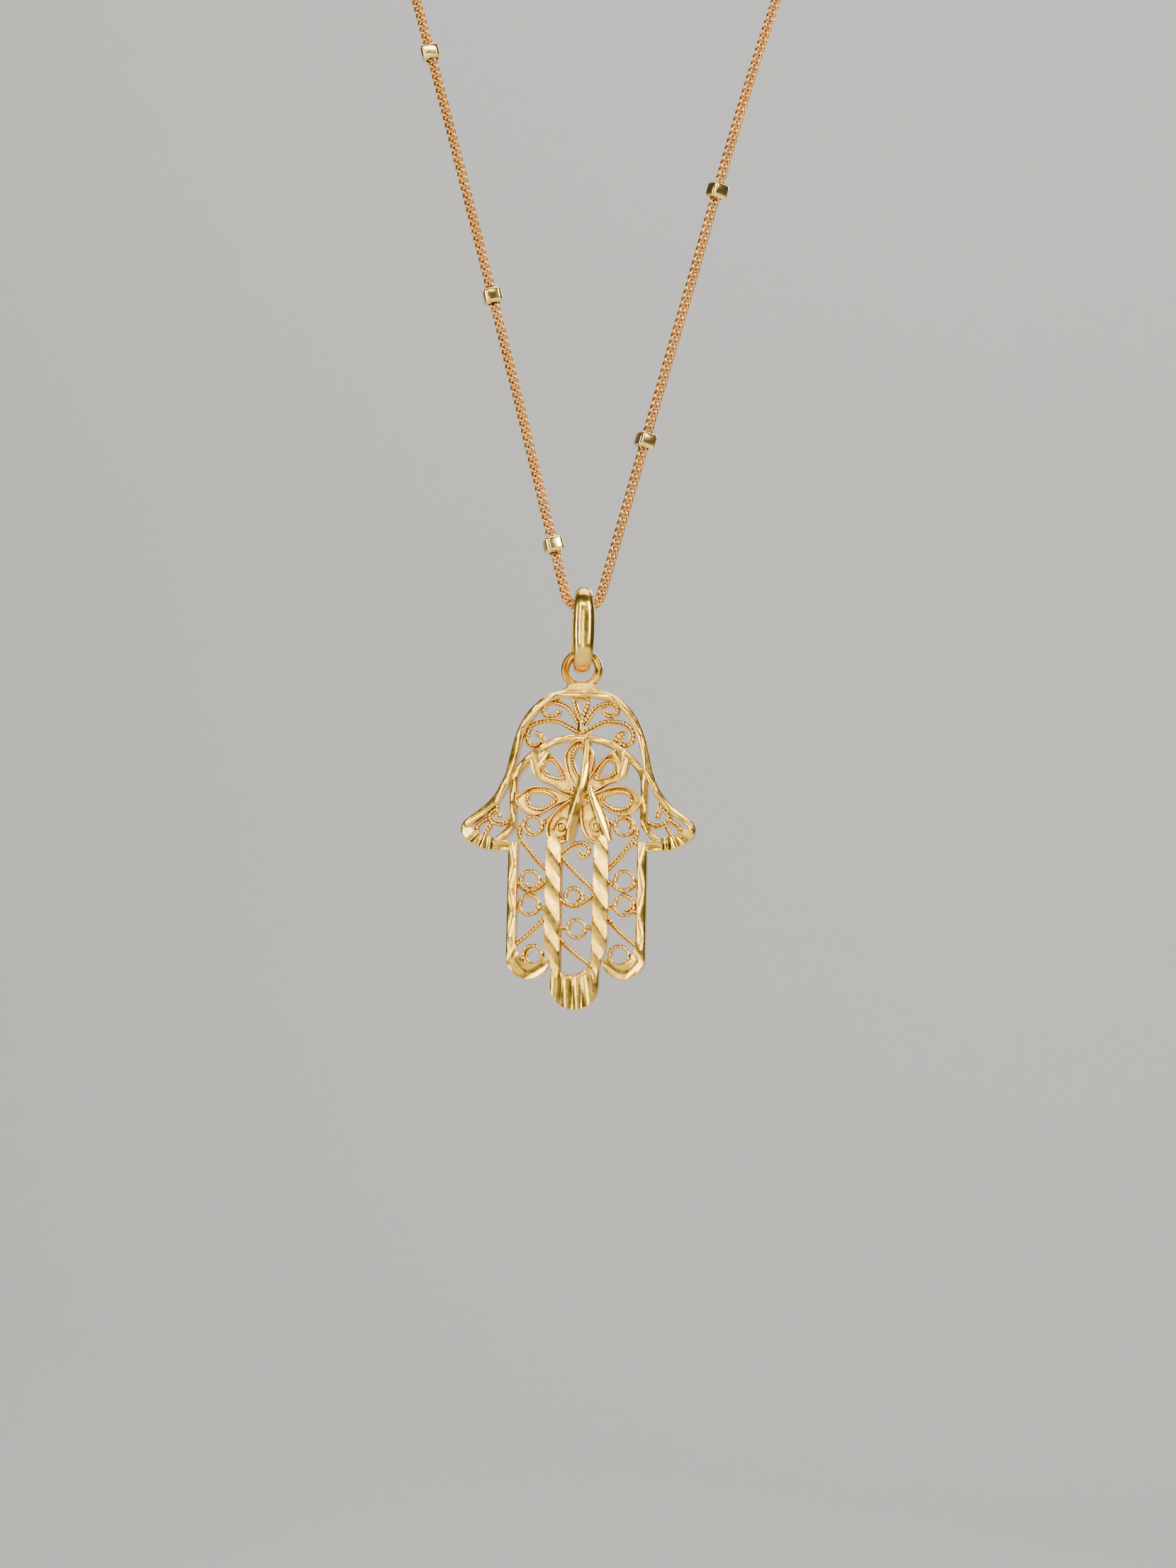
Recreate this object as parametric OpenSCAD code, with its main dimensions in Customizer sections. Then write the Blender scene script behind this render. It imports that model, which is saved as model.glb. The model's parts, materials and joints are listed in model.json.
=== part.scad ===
// Hamsa pendant: a pierced gold hand that hangs from an oval bail on a fine beaded chain.
// Millimetres. Z is up, the front is -Y, and the origin is the middle of the neck that wears it.

/* [Hand] */
// Width across the two thumbs
hand_w = 22; // [20:0.5:25]
// Height from the top of the dome to the tip of the middle finger
hand_h = 30; // [28:0.5:34]
// Width across the three fingers
palm_w = 13; // [12.4:0.1:14]
// Width of the middle finger
middle_w = 4.5; // [4.2:0.1:4.8]
// Distance from the top of the dome down to the tips of the two outer fingers
outer_end = 27.2; // [26.4:0.1:28]
// Thickness of the frame and the flower, front to back
hand_t = 1.5; // [1.2:0.1:2]

/* [Bands] */
// Width of the frame round the dome and the thumbs
frame_w = 0.7; // [0.5:0.05:0.8]
// Width of the frame round the fingers
side_w = 0.9; // [0.7:0.05:1]
// Width of the arch over the palm
arch_w = 0.65; // [0.5:0.05:0.8]
// Width of each bar between two fingers
divider_w = 1.3; // [1.1:0.05:1.5]
// Width of the flower's two cut bars
bar_w = 0.85; // [0.7:0.05:1]
// Depth of the bright cuts in the front
cut_depth = 0.28; // [0.1:0.02:0.4]

/* [Scroll wire] */
// Width of the scroll wire
wire_w = 0.4; // [0.32:0.02:0.48]
// Height of the scroll wire, front to back
wire_t = 1; // [0.7:0.05:1.1]
// Outer radius of the rings in the fingers
ring_r = 0.95; // [0.85:0.05:1.05]

/* [Loop] */
// Radius of the hole in the loop on top of the hand
loop_hole_r = 1.2; // [1.15:0.05:1.5]
// Thickness of the loop's wire
loop_wire = 0.75; // [0.6:0.05:0.9]
// Distance from the loop's centre down to the top of the dome
loop_drop = 2; // [1.9:0.05:2.4]
// Width of the plate that carries the loop
neck_w = 2.5; // [2:0.1:3]

/* [Bail] */
// Height of the bail
bail_h = 8.3; // [7.6:0.1:10]
// Depth of the bail, front to back
bail_d = 5.2; // [4.8:0.1:6]
// Width of the bail's band half way up
bail_w = 2; // [1.7:0.05:2.2]
// Width of the bail's band at its two ends
bail_end_w = 1.4; // [1.2:0.05:1.5]
// Thickness of the bail's band
bail_t = 1.05; // [0.8:0.05:1.1]
// Height of the crown along the middle of the bail's band
bail_crown = 0.3; // [0.1:0.05:0.4]
// Turn of the bail about the vertical, as it hangs
bail_turn = 10; // [0:1:12]

/* [Chain] */
// Width of the chain
chain_w = 0.96; // [0.8:0.02:1]
// Depth of the chain's lowest point below the middle of the neck
chain_drop = 110; // [100:1:120]
// Lean of each strand from the vertical, where it leaves the bail
strand_lean = 15; // [12:1:18]
// Number of beads
bead_count = 20; // [18:1:22]
// Distance along the chain from the bail to the nearest bead
first_bead = 7.3; // [6.3:0.1:8]
// Width of a bead across the chain
bead_w = 1.7; // [1.6:0.05:2.2]
// Length of a bead along the chain
bead_l = 1.5; // [1.3:0.05:2]
// Width of the cut along a bead's edges
bead_cut = 0.36; // [0.2:0.02:0.44]
// Turn of a bead about the chain, which brings its front face round to the viewer's right
bead_turn = 25; // [0:1:45]
// Diameter of the clasp
clasp_d = 3; // [2.6:0.1:4]
// Length of the clasp
clasp_l = 9; // [7:0.5:11]

/* [Fits] */
// Gap between pieces that hang in one another
hang_gap = 0.12; // [0.1:0.01:0.15]
// Gap round the chain inside a bead or the clasp
bore_gap = 0.1; // [0.08:0.01:0.14]

/* [Hidden] */
function bead_name(i) = str("bead_", i < 10 ? "0" : "", i);

// The hand is drawn on a grid: 22 columns to its width, 13 to the palm's, and 30 rows to its height.
// Columns count from the middle, and rows from the top of the dome. The openings of the fingers have
// columns of their own, from one wall to the other: -1.6 to 1.6 in the middle, and 2.9 to 5.6 beside it.
hand_col = hand_w / 22;
palm_col = palm_w / 13;
row = hand_h / 30;
middle_in = (middle_w - divider_w) / 2;
finger_in = (middle_w + divider_w) / 2;
finger_out = palm_w / 2 - side_w;
function on_hand(p) = [p[0] * hand_col, -loop_drop - p[1] * row];
function on_palm(p) = [p[0] * palm_col, -loop_drop - p[1] * row];
function on_middle(p) = [p[0] * middle_in / 1.6, -loop_drop - p[1] * row];
function on_finger(p) = [finger_in + (p[0] - 2.9) * (finger_out - finger_in) / 2.7, -loop_drop - p[1] * row];

// Outline of the dome and one thumb: [column, row] on the hand's grid
dome_outline = [
    [0, 0], [1.5, 0.03], [3, 0.42], [4, 1.1], [4.95, 2.1], [5.6, 3.2], [6.05, 4.3], [6.35, 5.4],
    [6.6, 6.5], [6.9, 7.8], [7.4, 9], [8, 10.05], [8.9, 11], [10.2, 12], [10.8, 12.55],
    [11, 13.15], [10.85, 13.75], [10.3, 14.3], [9.3, 14.85], [8.6, 15.1], [7, 15.15], [5, 15.15],
];
// The arch over the palm and its foot in the thumb: [column, row] on the palm's grid
arch_line = [
    [0, 4.47], [2, 4.8], [3, 5.2], [4, 5.8], [5, 6.7], [5.85, 7.75], [6.1, 8.6], [6.15, 10],
    [6.15, 12.5], [6.5, 13.2], [7.2, 13.95], [7.9, 14.5],
];
// Vines that both halves share: rows of [column, row] on the palm's grid
paired_vines = [
    // Upper scroll of the crown
    [[0.3, 3.1], [0.65, 2.5], [1.2, 1.75], [1.9, 1.35], [2.75, 1.2], [3.4, 1.55], [3.45, 2.15],
     [2.95, 2.45], [2.3, 2.3], [2.15, 1.85]],
    // Lower branch of the crown, with its curl
    [[0.3, 3.95], [1.2, 3.45], [2.2, 3], [3.2, 2.93], [4.2, 3.15], [4.75, 3.6], [4.98, 4.3],
     [4.8, 5], [4.25, 5.25], [3.7, 4.85], [3.75, 4.3], [4.2, 4.05]],
    // Tail of that curl, down to the arch
    [[4.2, 4.05], [3.65, 4.2], [3.25, 4.95]],
    // Strut from the palm's corner to the bar
    [[5.1, 12.5], [5.55, 13.3], [5.2, 14.2], [4.5, 15.1], [3.8, 15.95], [2.8, 17]],
    [[5.2, 14.2], [5.95, 14.7]],
    // Web between the palm's ring and the flower
    [[2.6, 12.1], [3.5, 12.7]],
];
// Vines of the outer fingers: rows of [column, row] on their own columns
finger_vines = [
    // Cradle under the upper ring
    [[5.7, 18], [5.1, 18.6], [4.4, 18.95], [3.6, 18.6], [2.9, 17.95]],
    // Strut from the bar down to the frame
    [[2.8, 21.2], [4, 22.6], [5.8, 24.1]],
    // Ties of the middle ring
    [[3.75, 20.25], [2.8, 20.7]],
    [[5.12, 20.65], [5.8, 20.95]],
];
// Vines of the thumb: rows of [column, row] on the hand's grid
thumb_vines = [
    [[6.4, 12.35], [7.2, 12.7], [7.9, 12.6], [8.4, 12.1], [8.35, 11.7], [7.85, 11.3], [7.5, 11.6],
     [7.45, 12.1]],
    [[7.7, 10.6], [7.75, 11.4]],
    [[8.4, 12.1], [9, 12.45], [9.5, 12.9], [9.5, 13.5], [9.2, 14.2]],
    [[8.15, 12.5], [8.45, 13.1], [8.75, 13.65], [9.05, 14.2]],
];
// Vines of the middle finger: rows of [column, row] on its own columns
middle_vines = [
    [[-1.7, 15.5], [-0.9, 14.8], [0, 14.4], [0.75, 14.45], [1.05, 15], [0.85, 15.55], [0.4, 15.8], [0, 15.3]],
    [[-1.7, 15.5], [-0.3, 17], [1.6, 18.8]],
    [[-1.7, 19.6], [-0.7, 20.2], [0.3, 20.15], [1.6, 19.2]],
    [[-1.7, 22.3], [-0.7, 22.4]],
    [[0.7, 22.2], [1.7, 22.4]],
    [[-1.7, 23.2], [-0.3, 24.5], [1.5, 25.9]],
];
// Rings of the palm, the outer fingers and the middle one: [column, row, share of ring_r]
palm_rings = [[4.3, 12.8, 1]];
finger_rings = [[4.42, 17.95, 1], [4.45, 20.25, 1.02], [4.05, 24.95, 1.02]];
middle_rings = [[-0.3, 19.45, 0.95], [0, 22.45, 0.95]];
// Bright cuts: columns of the thumbs' flutes, rows of the cuts over the bars, and how they lean
thumb_flutes = [7.7, 8.7, 9.7];
divider_cuts = [16.4, 20.4, 24];
divider_lean = 16;
thumb_lean = 12;
tip_lean = 8;
divider_cut_r = 3;
divider_cut_l = 5;
tip_flute_l = 6;
thumb_flute_r = 0.5;
thumb_flute_l = 2.2;
// How far a flute's axis lies in front of the hand
flute_rise = 0.18;
// The crown's middle petal: [column, row] on the palm's grid
crown_petal = [[0, 0.55], [0.6, 0.8], [0.62, 1.4], [0.3, 2.2], [0, 2.8]];
// The flower: half of each petal's outline and opening, as [column, row]
top_petal = [[0, 4.7], [0.95, 5.3], [1.4, 6.3], [1.25, 7.5], [0.8, 8.6], [0.1, 9.6]];
top_opening = [[0, 5.35], [0.42, 5.9], [0.5, 6.5], [0.3, 7.2], [0, 7.85]];
slant_petal = [
    [0.3, 9.6], [1.1, 8], [1.9, 6.8], [2.8, 6], [3.9, 5.6], [4.65, 6.1], [4.55, 7.3], [4.35, 8],
    [3.6, 8.6], [2.6, 8.95], [1.2, 9.8],
];
slant_opening = [[2.45, 6.85], [3, 6.75], [3.35, 7.1], [3.25, 7.65], [2.6, 8.1], [1.8, 8.3], [1.7, 8.1]];
side_petal = [
    [0.5, 10.2], [1.8, 9.6], [3, 9.15], [4.3, 9.1], [5.3, 9.6], [6, 10.3], [5.6, 11.1], [4.9, 11.7],
    [4, 11.85], [3, 11.5], [2, 10.8],
];
side_opening = [
    [2.35, 10.3], [3, 9.85], [3.9, 9.75], [4.6, 9.9], [4.75, 10.5], [4.4, 10.95], [3.6, 11.1], [2.9, 10.8],
];
low_petal = [
    [0.2, 10.2], [1.5, 10.9], [2.4, 11.8], [2.85, 12.8], [2.8, 13.9], [2, 14.4], [1, 14.1],
    [0.35, 13], [0.15, 11.8],
];
// The two cut bars that cross the flower: [column, row]
long_bar = [[0.65, 4.6], [0.68, 7], [0.5, 8.4], [0.15, 9.7], [-0.25, 11], [-0.55, 12.8], [-0.85, 14.3]];
short_bar = [[0.9, 9.1], [1.3, 10.3], [1.8, 11.6], [2.3, 13], [2.6, 14.3]];
// Rows where the solid tips, the crotches and the bars begin
palm_low_row = 12;
bar_top_row = 13.6;
crotch_row = 25.4;
middle_solid_row = 26.6;
outer_solid_row = 25.6;
thumb_solid_row = 14;
thumb_end_row = 15.15;
// Middle of the flower
hub = [0, 10];
hub_r = 1.1;

// Width of an outer finger, beside the narrow slot that parts it from the middle one
finger_slot = 0.15;
outer_w = (palm_w - middle_w) / 2 - finger_slot;
// A raised layer keeps this far inside the layer under it, so no two walls share a plane
layer_inset = 0.03;
// Samples to each stretch of a smooth outline, and of a thin vine
smooth_steps = 3;
vine_steps = 2;

// Places of the hanging pieces, from the chain down
neck_points = [
    [9, -50, -81], [17, -50, -52], [30, -44, -10], [46, -26, 11], [54, 0, 21], [46, 26, 27], [25, 44, 30],
    [0, 50, 31],
];
front_y = neck_points[0][1];
// The bail's sides are arcs that draw its band in, from bail_w half way up to bail_end_w at its ends
bail_sag = (bail_w - bail_end_w) / 2;
bail_side_r = (bail_h * bail_h / 4 + bail_sag * bail_sag) / (2 * bail_sag);
// Half the width of the band where its inner face meets the chain and the loop, as it hangs turned
inner_z = bail_h / 2 - bail_t;
inner_half = bail_w / 2 - bail_side_r + sqrt(bail_side_r * bail_side_r - inner_z * inner_z);
function turned_half(wire_d) = inner_half * cos(bail_turn) + wire_d / 2 * sin(bail_turn);
chain_seat = turned_half(chain_w);
bend_r = chain_seat + chain_w / 2 + 3 * hang_gap;
bend_z = -chain_drop + bend_r;
bend_reach = bend_r - chain_w / 2 - hang_gap;
bail_top_z = bend_z - sqrt(bend_reach * bend_reach - chain_seat * chain_seat) + bail_t;
bail_low_z = bail_top_z - bail_h;
loop_seat = turned_half(loop_wire);
loop_reach = loop_hole_r - hang_gap;
loop_z = bail_low_z + bail_t - sqrt(loop_reach * loop_reach - loop_seat * loop_seat);

// A smooth line through a few points
function pick(p, i) = p[min(max(i, 0), len(p) - 1)];
function blend(a, b, c, d, t) =
    0.5 * (2 * b + (c - a) * t + (2 * a - 5 * b + 4 * c - d) * t * t + (3 * b - 3 * c + d - a) * t * t * t);
function smooth(p, n = smooth_steps) = concat(
    [for (i = [0 : len(p) - 2], k = [0 : n - 1])
        blend(pick(p, i - 1), p[i], p[i + 1], pick(p, i + 2), k / n)],
    [p[len(p) - 1]]);
function ring_pick(p, i) = p[(i + len(p)) % len(p)];
function smooth_ring(p, n = smooth_steps) = [
    for (i = [0 : len(p) - 1], k = [0 : n - 1])
        blend(ring_pick(p, i - 1), p[i], ring_pick(p, i + 1), ring_pick(p, i + 2), k / n)];
function backwards(p) = [for (i = [len(p) - 1 : -1 : 0]) p[i]];
function mirrored(p) = [for (q = p) [-q[0], q[1]]];
function two_sided(p) = concat(p, backwards(mirrored([for (q = p) if (q[0] > 0) q])));
// The left-hand normal of a flat line at its point i
function side_of(p, i) = let (d = pick(p, i + 1) - pick(p, i - 1)) [-d[1], d[0]] / norm(d);

module wire(line, w) {
    left = [for (i = [0 : len(line) - 1]) line[i] + side_of(line, i) * w / 2];
    right = [for (i = [0 : len(line) - 1]) line[i] - side_of(line, i) * w / 2];
    polygon(concat(left, backwards(right)));
}

module both_sides() {
    children();
    mirror([1, 0]) children();
}

module dome_shape() polygon(two_sided([for (p = smooth(dome_outline)) on_hand(p)]));

module finger_shape(x, w, end) {
    translate([x, -loop_drop - end + w / 2]) circle(d = w, $fn = 40);
    translate([x - w / 2, -loop_drop - end + w / 2]) square([w, end - w / 2 - palm_low_row * row]);
}

module fingers_shape() {
    both_sides() finger_shape(palm_w / 2 - outer_w / 2, outer_w, outer_end);
    finger_shape(0, middle_w, hand_h);
    translate([-palm_w / 2, on_palm([0, crotch_row])[1]]) square([palm_w, (crotch_row - palm_low_row) * row]);
}

module below_row(r, w) translate([-w / 2, -loop_drop - 2 * hand_h]) square([w, 2 * hand_h - r * row]);

module frame_shape() {
    difference() {
        union() {
            dome_shape();
            fingers_shape();
        }
        offset(delta = -frame_w) dome_shape();
        offset(delta = -side_w) fingers_shape();
        translate([-middle_in, on_palm([0, middle_solid_row])[1]])
            square([2 * middle_in, (middle_solid_row - bar_top_row) * row]);
    }
    intersection() {
        fingers_shape();
        union() {
            both_sides() translate([palm_w / 2 - outer_w / 2, 0]) below_row(outer_solid_row, outer_w);
            below_row(middle_solid_row, middle_w);
        }
    }
    intersection() {
        dome_shape();
        both_sides() translate([hand_w / 2 - hand_w / 12, 0]) below_row(thumb_solid_row, hand_w / 6);
    }
    // Plate that carries the loop
    polygon([[-neck_w / 3, -loop_hole_r - loop_wire / 3], [neck_w / 3, -loop_hole_r - loop_wire / 3],
             [neck_w / 2, -loop_drop - frame_w / 2], [-neck_w / 2, -loop_drop - frame_w / 2]]);
}

module bars_shape() {
    both_sides() wire([for (p = smooth(arch_line)) on_palm(p)], arch_w);
    both_sides() translate([middle_in, on_palm([0, crotch_row])[1]])
        square([divider_w, (crotch_row - bar_top_row) * row]);
}

module petal_shape(outline, opening) {
    difference() {
        polygon([for (p = smooth_ring(outline)) on_palm(p)]);
        polygon([for (p = smooth_ring(opening)) on_palm(p)]);
    }
}

module flower_shape() {
    petal_shape(two_sided(top_petal), two_sided(top_opening));
    both_sides() {
        petal_shape(slant_petal, slant_opening);
        petal_shape(side_petal, side_opening);
        polygon([for (p = smooth_ring(low_petal)) on_palm(p)]);
    }
    wire([for (p = smooth(long_bar)) on_palm(p)], bar_w);
    wire([for (p = smooth(short_bar)) on_palm(p)], bar_w);
    translate(on_palm(hub)) circle(r = hub_r, $fn = 16);
}

module ring_shape(place, share) translate(place) difference() {
    circle(r = ring_r * share, $fn = 20);
    circle(r = ring_r * share - wire_w, $fn = 14);
}

module scroll_shape() {
    both_sides() {
        for (v = paired_vines) wire([for (p = smooth(v, vine_steps)) on_palm(p)], wire_w);
        for (v = thumb_vines) wire([for (p = smooth(v, vine_steps)) on_hand(p)], wire_w);
        for (v = finger_vines) wire([for (p = smooth(v, vine_steps)) on_finger(p)], wire_w);
        for (r = palm_rings) ring_shape(on_palm(r), r[2]);
        for (r = finger_rings) ring_shape(on_finger(r), r[2]);
    }
    for (v = middle_vines) wire([for (p = smooth(v, vine_steps)) on_middle(p)], wire_w);
    for (r = middle_rings) ring_shape(on_middle(r), r[2]);
    wire([for (p = smooth(concat(two_sided(crown_petal), [crown_petal[0]]), vine_steps)) on_palm(p)], wire_w);
    // Stem of the crown
    polygon([for (p = [[-0.25, 2.5], [0.25, 2.5], [0.5, 4.4], [-0.5, 4.4]]) on_palm(p)]);
}

// A flat shape in the hand's plane, from one depth to another, where 0 is its middle
module slab(y0, y1) translate([0, y1, 0]) rotate([90, 0, 0]) linear_extrude(y1 - y0) children();

module loop_ring() rotate([90, 0, 0]) rotate_extrude($fn = 64)
    translate([loop_hole_r + loop_wire / 2, 0]) circle(d = loop_wire, $fn = 32);

// A long bright cut: a round cutter of radius r that bites the front at a grid point, leaning by an angle
module bright_cut(place, r, length, lean, depth = cut_depth)
    translate([place[0], -hand_t / 2 - r + depth, place[1]])
        rotate([0, lean, 0]) cylinder(r = r, h = length, center = true, $fn = 64);

module bright_cuts() {
    for (r = divider_cuts, s = [-1, 1])
        bright_cut([s * middle_w / 2, on_palm([0, r])[1]], divider_cut_r, divider_cut_l, -divider_lean);
    // Flutes of the middle finger's tip
    for (i = [-1.5 : 1 : 1.5])
        translate([i * middle_w / 4.6, -hand_t / 2 - flute_rise, -loop_drop - hand_h])
            rotate([tip_lean, 0, 0])
                cylinder(r = middle_w / 9.5, h = tip_flute_l * row, center = true, $fn = 32);
    // Flutes of the thumbs
    for (x = thumb_flutes, s = [-1, 1])
        translate([s * on_hand([x, 0])[0], -hand_t / 2 - flute_rise, on_hand([0, thumb_end_row])[1]])
            rotate([0, s * thumb_lean, 0])
                cylinder(r = thumb_flute_r, h = thumb_flute_l, center = true, $fn = 32);
}

module hamsa() color("goldenrod") translate([0, front_y, loop_z]) difference() {
    union() {
        slab(hand_t / 2 - wire_t, hand_t / 2) offset(delta = 0.01) {
            frame_shape();
            bars_shape();
            flower_shape();
            scroll_shape();
        }
        slab(-hand_t / 2, hand_t / 2 - wire_t / 2) offset(delta = -layer_inset) {
            frame_shape();
            bars_shape();
            flower_shape();
        }
        loop_ring();
    }
    bright_cuts();
}

// Section of the bail's band: flat inside and crowned outside, with its inner face at x = 0
module band_section() {
    half = [[0, bail_w / 2], [bail_t - bail_crown, bail_w / 2], [bail_t, bail_w / 5]];
    polygon(concat(half, backwards([for (p = half) [p[0], -p[1]]])));
}

module bail_end() rotate([0, 90, 0]) rotate([0, 0, 90]) rotate_extrude(angle = 180, $fn = 64)
    translate([bail_d / 2 - bail_t, 0]) band_section();

// A wide round cutter whose edge is one side of the band
module band_side(s) translate([s * (bail_side_r - bail_w / 2), 0, 0])
    rotate([90, 0, 0]) cylinder(r = bail_side_r, h = 2 * bail_d, center = true, $fn = 200);

module bail() {
    straight = bail_h - bail_d;
    color("gold") translate([0, front_y, (bail_top_z + bail_low_z) / 2]) rotate([0, 0, bail_turn])
        intersection() {
            union() {
                translate([0, 0, straight / 2]) bail_end();
                mirror([0, 0, 1]) translate([0, 0, straight / 2]) bail_end();
                for (s = [-90, 90]) rotate([0, 0, s]) translate([bail_d / 2 - bail_t, 0, 0])
                    linear_extrude(straight, center = true) band_section();
            }
            band_side(-1);
            band_side(1);
        }
}

// The chain's route: a tight bend through the bail, then each strand up and round the neck
bend_turn = 90 - strand_lean;
bend_steps = 4;
function bend_point(a) = [bend_r * sin(a), front_y, bend_z - bend_r * cos(a)];
bend = [for (i = [0 : bend_steps]) bend_point(i * bend_turn / bend_steps)];
right_strand = smooth(concat([bend[bend_steps]], neck_points), 10);
function across(p) = [for (q = p) [-q[0], q[1], q[2]]];
function part_of(p, a, b) = [for (i = [a : b]) p[i]];
half_route = concat(part_of(bend, 0, bend_steps - 1), right_strand);
route = concat(half_route, backwards(across(part_of(half_route, 0, len(half_route) - 2))));
function step_to(i) = norm(ring_pick(route, i) - ring_pick(route, i - 1));
reach = [for (i = 0, s = 0; i < len(route); i = i + 1, s = s + step_to(i)) s];
chain_l = reach[len(reach) - 1];
echo(chain_length = chain_l);
function wrapped(s) = s < 0 ? s + chain_l : s > chain_l ? s - chain_l : s;
marks = [for (axis = [0 : 2]) [for (i = [0 : len(route) - 1]) [reach[i], route[i][axis]]]];
function along(s) = [for (axis = [0 : 2]) lookup(wrapped(s), marks[axis])];
function unit(v) = v / norm(v);
// Frame at a place: the line's own direction, and a side that points away from the neck
function away(p, d) = let (r = unit([p[0], p[1], 0])) unit(r - (r * d) * d);
bead_pitch = chain_l / bead_count;
function bead_at(i) = bead_pitch * i - first_bead;
// Each bead, and the clasp midway between the two beads at the nape, has a straight stretch of its own
bead_hold = bead_pitch / 6;
clasp_hold = clasp_l / 2 + bore_gap;
clasp_before = ceil(bead_count / 2) + 1;
clasp_at = bead_at(clasp_before) - bead_pitch / 2;
function marks_before(i) =
    i == clasp_before ? [clasp_at - clasp_hold, clasp_at + clasp_hold] : [bead_at(i) - bead_pitch / 2];
function marks_at(i) = concat(marks_before(i), [bead_at(i) - bead_hold, bead_at(i) + bead_hold]);
bend_l = bend_r * bend_turn * PI / 180;
stations = concat(
    [for (i = [0 : bend_steps]) bend_l * i / bend_steps],
    [for (i = [1 : bead_count], s = marks_at(i)) s],
    [for (i = [bend_steps : -1 : 1]) chain_l - bend_l * i / bend_steps]);
chain_sides = 8;

module chain() {
    rings = len(stations);
    points = [for (s = stations)
        let (c = along(s), d = unit(along(s + 0.2) - along(s - 0.2)), a = away(c, d), b = cross(d, a))
        for (k = [0 : chain_sides - 1])
            c + chain_w / 2 * (a * cos(360 * k / chain_sides) + b * sin(360 * k / chain_sides))];
    faces = [for (i = [0 : rings - 1], k = [0 : chain_sides - 1])
        let (j = (i + 1) % rings, m = (k + 1) % chain_sides)
        [i * chain_sides + k, j * chain_sides + k, j * chain_sides + m, i * chain_sides + m]];
    color("orange") polyhedron(points, faces);
}

// Puts a piece on the straight stretch of chain between two places, with its Z along the chain
module on_chain(s0, s1) {
    p = along(s0);
    q = along(s1);
    d = unit(q - p);
    c = (p + q) / 2;
    a = away(c, d);
    b = cross(d, a);
    multmatrix([[a[0], b[0], d[0], c[0]], [a[1], b[1], d[1], c[1]], [a[2], b[2], d[2], c[2]], [0, 0, 0, 1]])
        children();
}

// A bead: a cube with cut edges, drilled for the chain
module bead(i) {
    side_span = bead_w * sqrt(2) - bead_cut;
    end_span = (bead_w + bead_l) / sqrt(2) - bead_cut;
    s = bead_at(i);
    turn = i > bead_count / 2 ? -bead_turn : bead_turn;
    color("khaki") on_chain(s - bead_hold, s + bead_hold) difference() {
        rotate([0, 0, turn]) intersection() {
            cube([bead_w, bead_w, bead_l], center = true);
            rotate([0, 0, 45]) cube([side_span, side_span, 2 * bead_l], center = true);
            rotate([0, 45, 0]) cube([end_span, 2 * bead_w, end_span], center = true);
            rotate([45, 0, 0]) cube([2 * bead_w, end_span, end_span], center = true);
        }
        cylinder(d = chain_w + 2 * bore_gap, h = 2 * bead_l, center = true, $fn = 32);
    }
}

// The plain clasp at the nape: a round barrel with turned ends, drilled for the chain
module clasp() {
    bore_r = chain_w / 2 + bore_gap;
    color("gold") on_chain(clasp_at - clasp_hold, clasp_at + clasp_hold) rotate_extrude($fn = 48)
        polygon([[bore_r, -clasp_l / 2], [clasp_d / 3, -clasp_l / 2], [clasp_d / 2, -clasp_l / 3],
                 [clasp_d / 2, clasp_l / 3], [clasp_d / 3, clasp_l / 2], [bore_r, clasp_l / 2]]);
}

hamsa();
bail();
chain();
clasp();
for (i = [1 : bead_count]) bead(i);
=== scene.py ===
# %% [markdown]
# # A pierced gold hand on a beaded chain
#
# This lesson dresses a small piece of jewellery: an open hand in gold filigree that hangs from an
# oval bail on a fine curb chain. The solids already have their true sizes and places. The looks are
# made here: bright-cut bands, roped wire, granules, links and the surfaces of polished gold.
#
# The hand is drawn lying face up on the bench, in millimetres, with its loop at the origin. When a
# piece is finished it is stood up, brought to metres and hung from its own joint.

# %% Load the solids
import bisect
import json
import math

import bpy
from mathutils import Matrix, Vector


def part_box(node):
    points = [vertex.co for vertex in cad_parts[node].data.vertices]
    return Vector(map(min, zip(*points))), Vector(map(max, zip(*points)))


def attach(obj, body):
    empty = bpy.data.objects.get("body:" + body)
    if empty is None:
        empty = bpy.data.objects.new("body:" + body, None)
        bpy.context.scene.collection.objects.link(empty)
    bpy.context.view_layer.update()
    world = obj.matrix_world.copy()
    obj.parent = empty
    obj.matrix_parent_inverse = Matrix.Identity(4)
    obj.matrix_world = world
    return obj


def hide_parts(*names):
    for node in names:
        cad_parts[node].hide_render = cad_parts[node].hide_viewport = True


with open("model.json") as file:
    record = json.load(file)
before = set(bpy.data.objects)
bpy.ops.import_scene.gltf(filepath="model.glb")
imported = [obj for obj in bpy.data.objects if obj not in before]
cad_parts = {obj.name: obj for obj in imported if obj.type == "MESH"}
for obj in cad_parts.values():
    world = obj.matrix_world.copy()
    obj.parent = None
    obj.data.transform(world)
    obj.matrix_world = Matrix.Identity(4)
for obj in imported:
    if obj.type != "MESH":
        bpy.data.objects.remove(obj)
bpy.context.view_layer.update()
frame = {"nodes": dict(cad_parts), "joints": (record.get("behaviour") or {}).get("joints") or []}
joints = {joint["name"]: joint for joint in frame["joints"]}
loop_at = Vector(joints["hamsa_swing"]["pos_m"])
hand_low, hand_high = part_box("hamsa")

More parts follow.
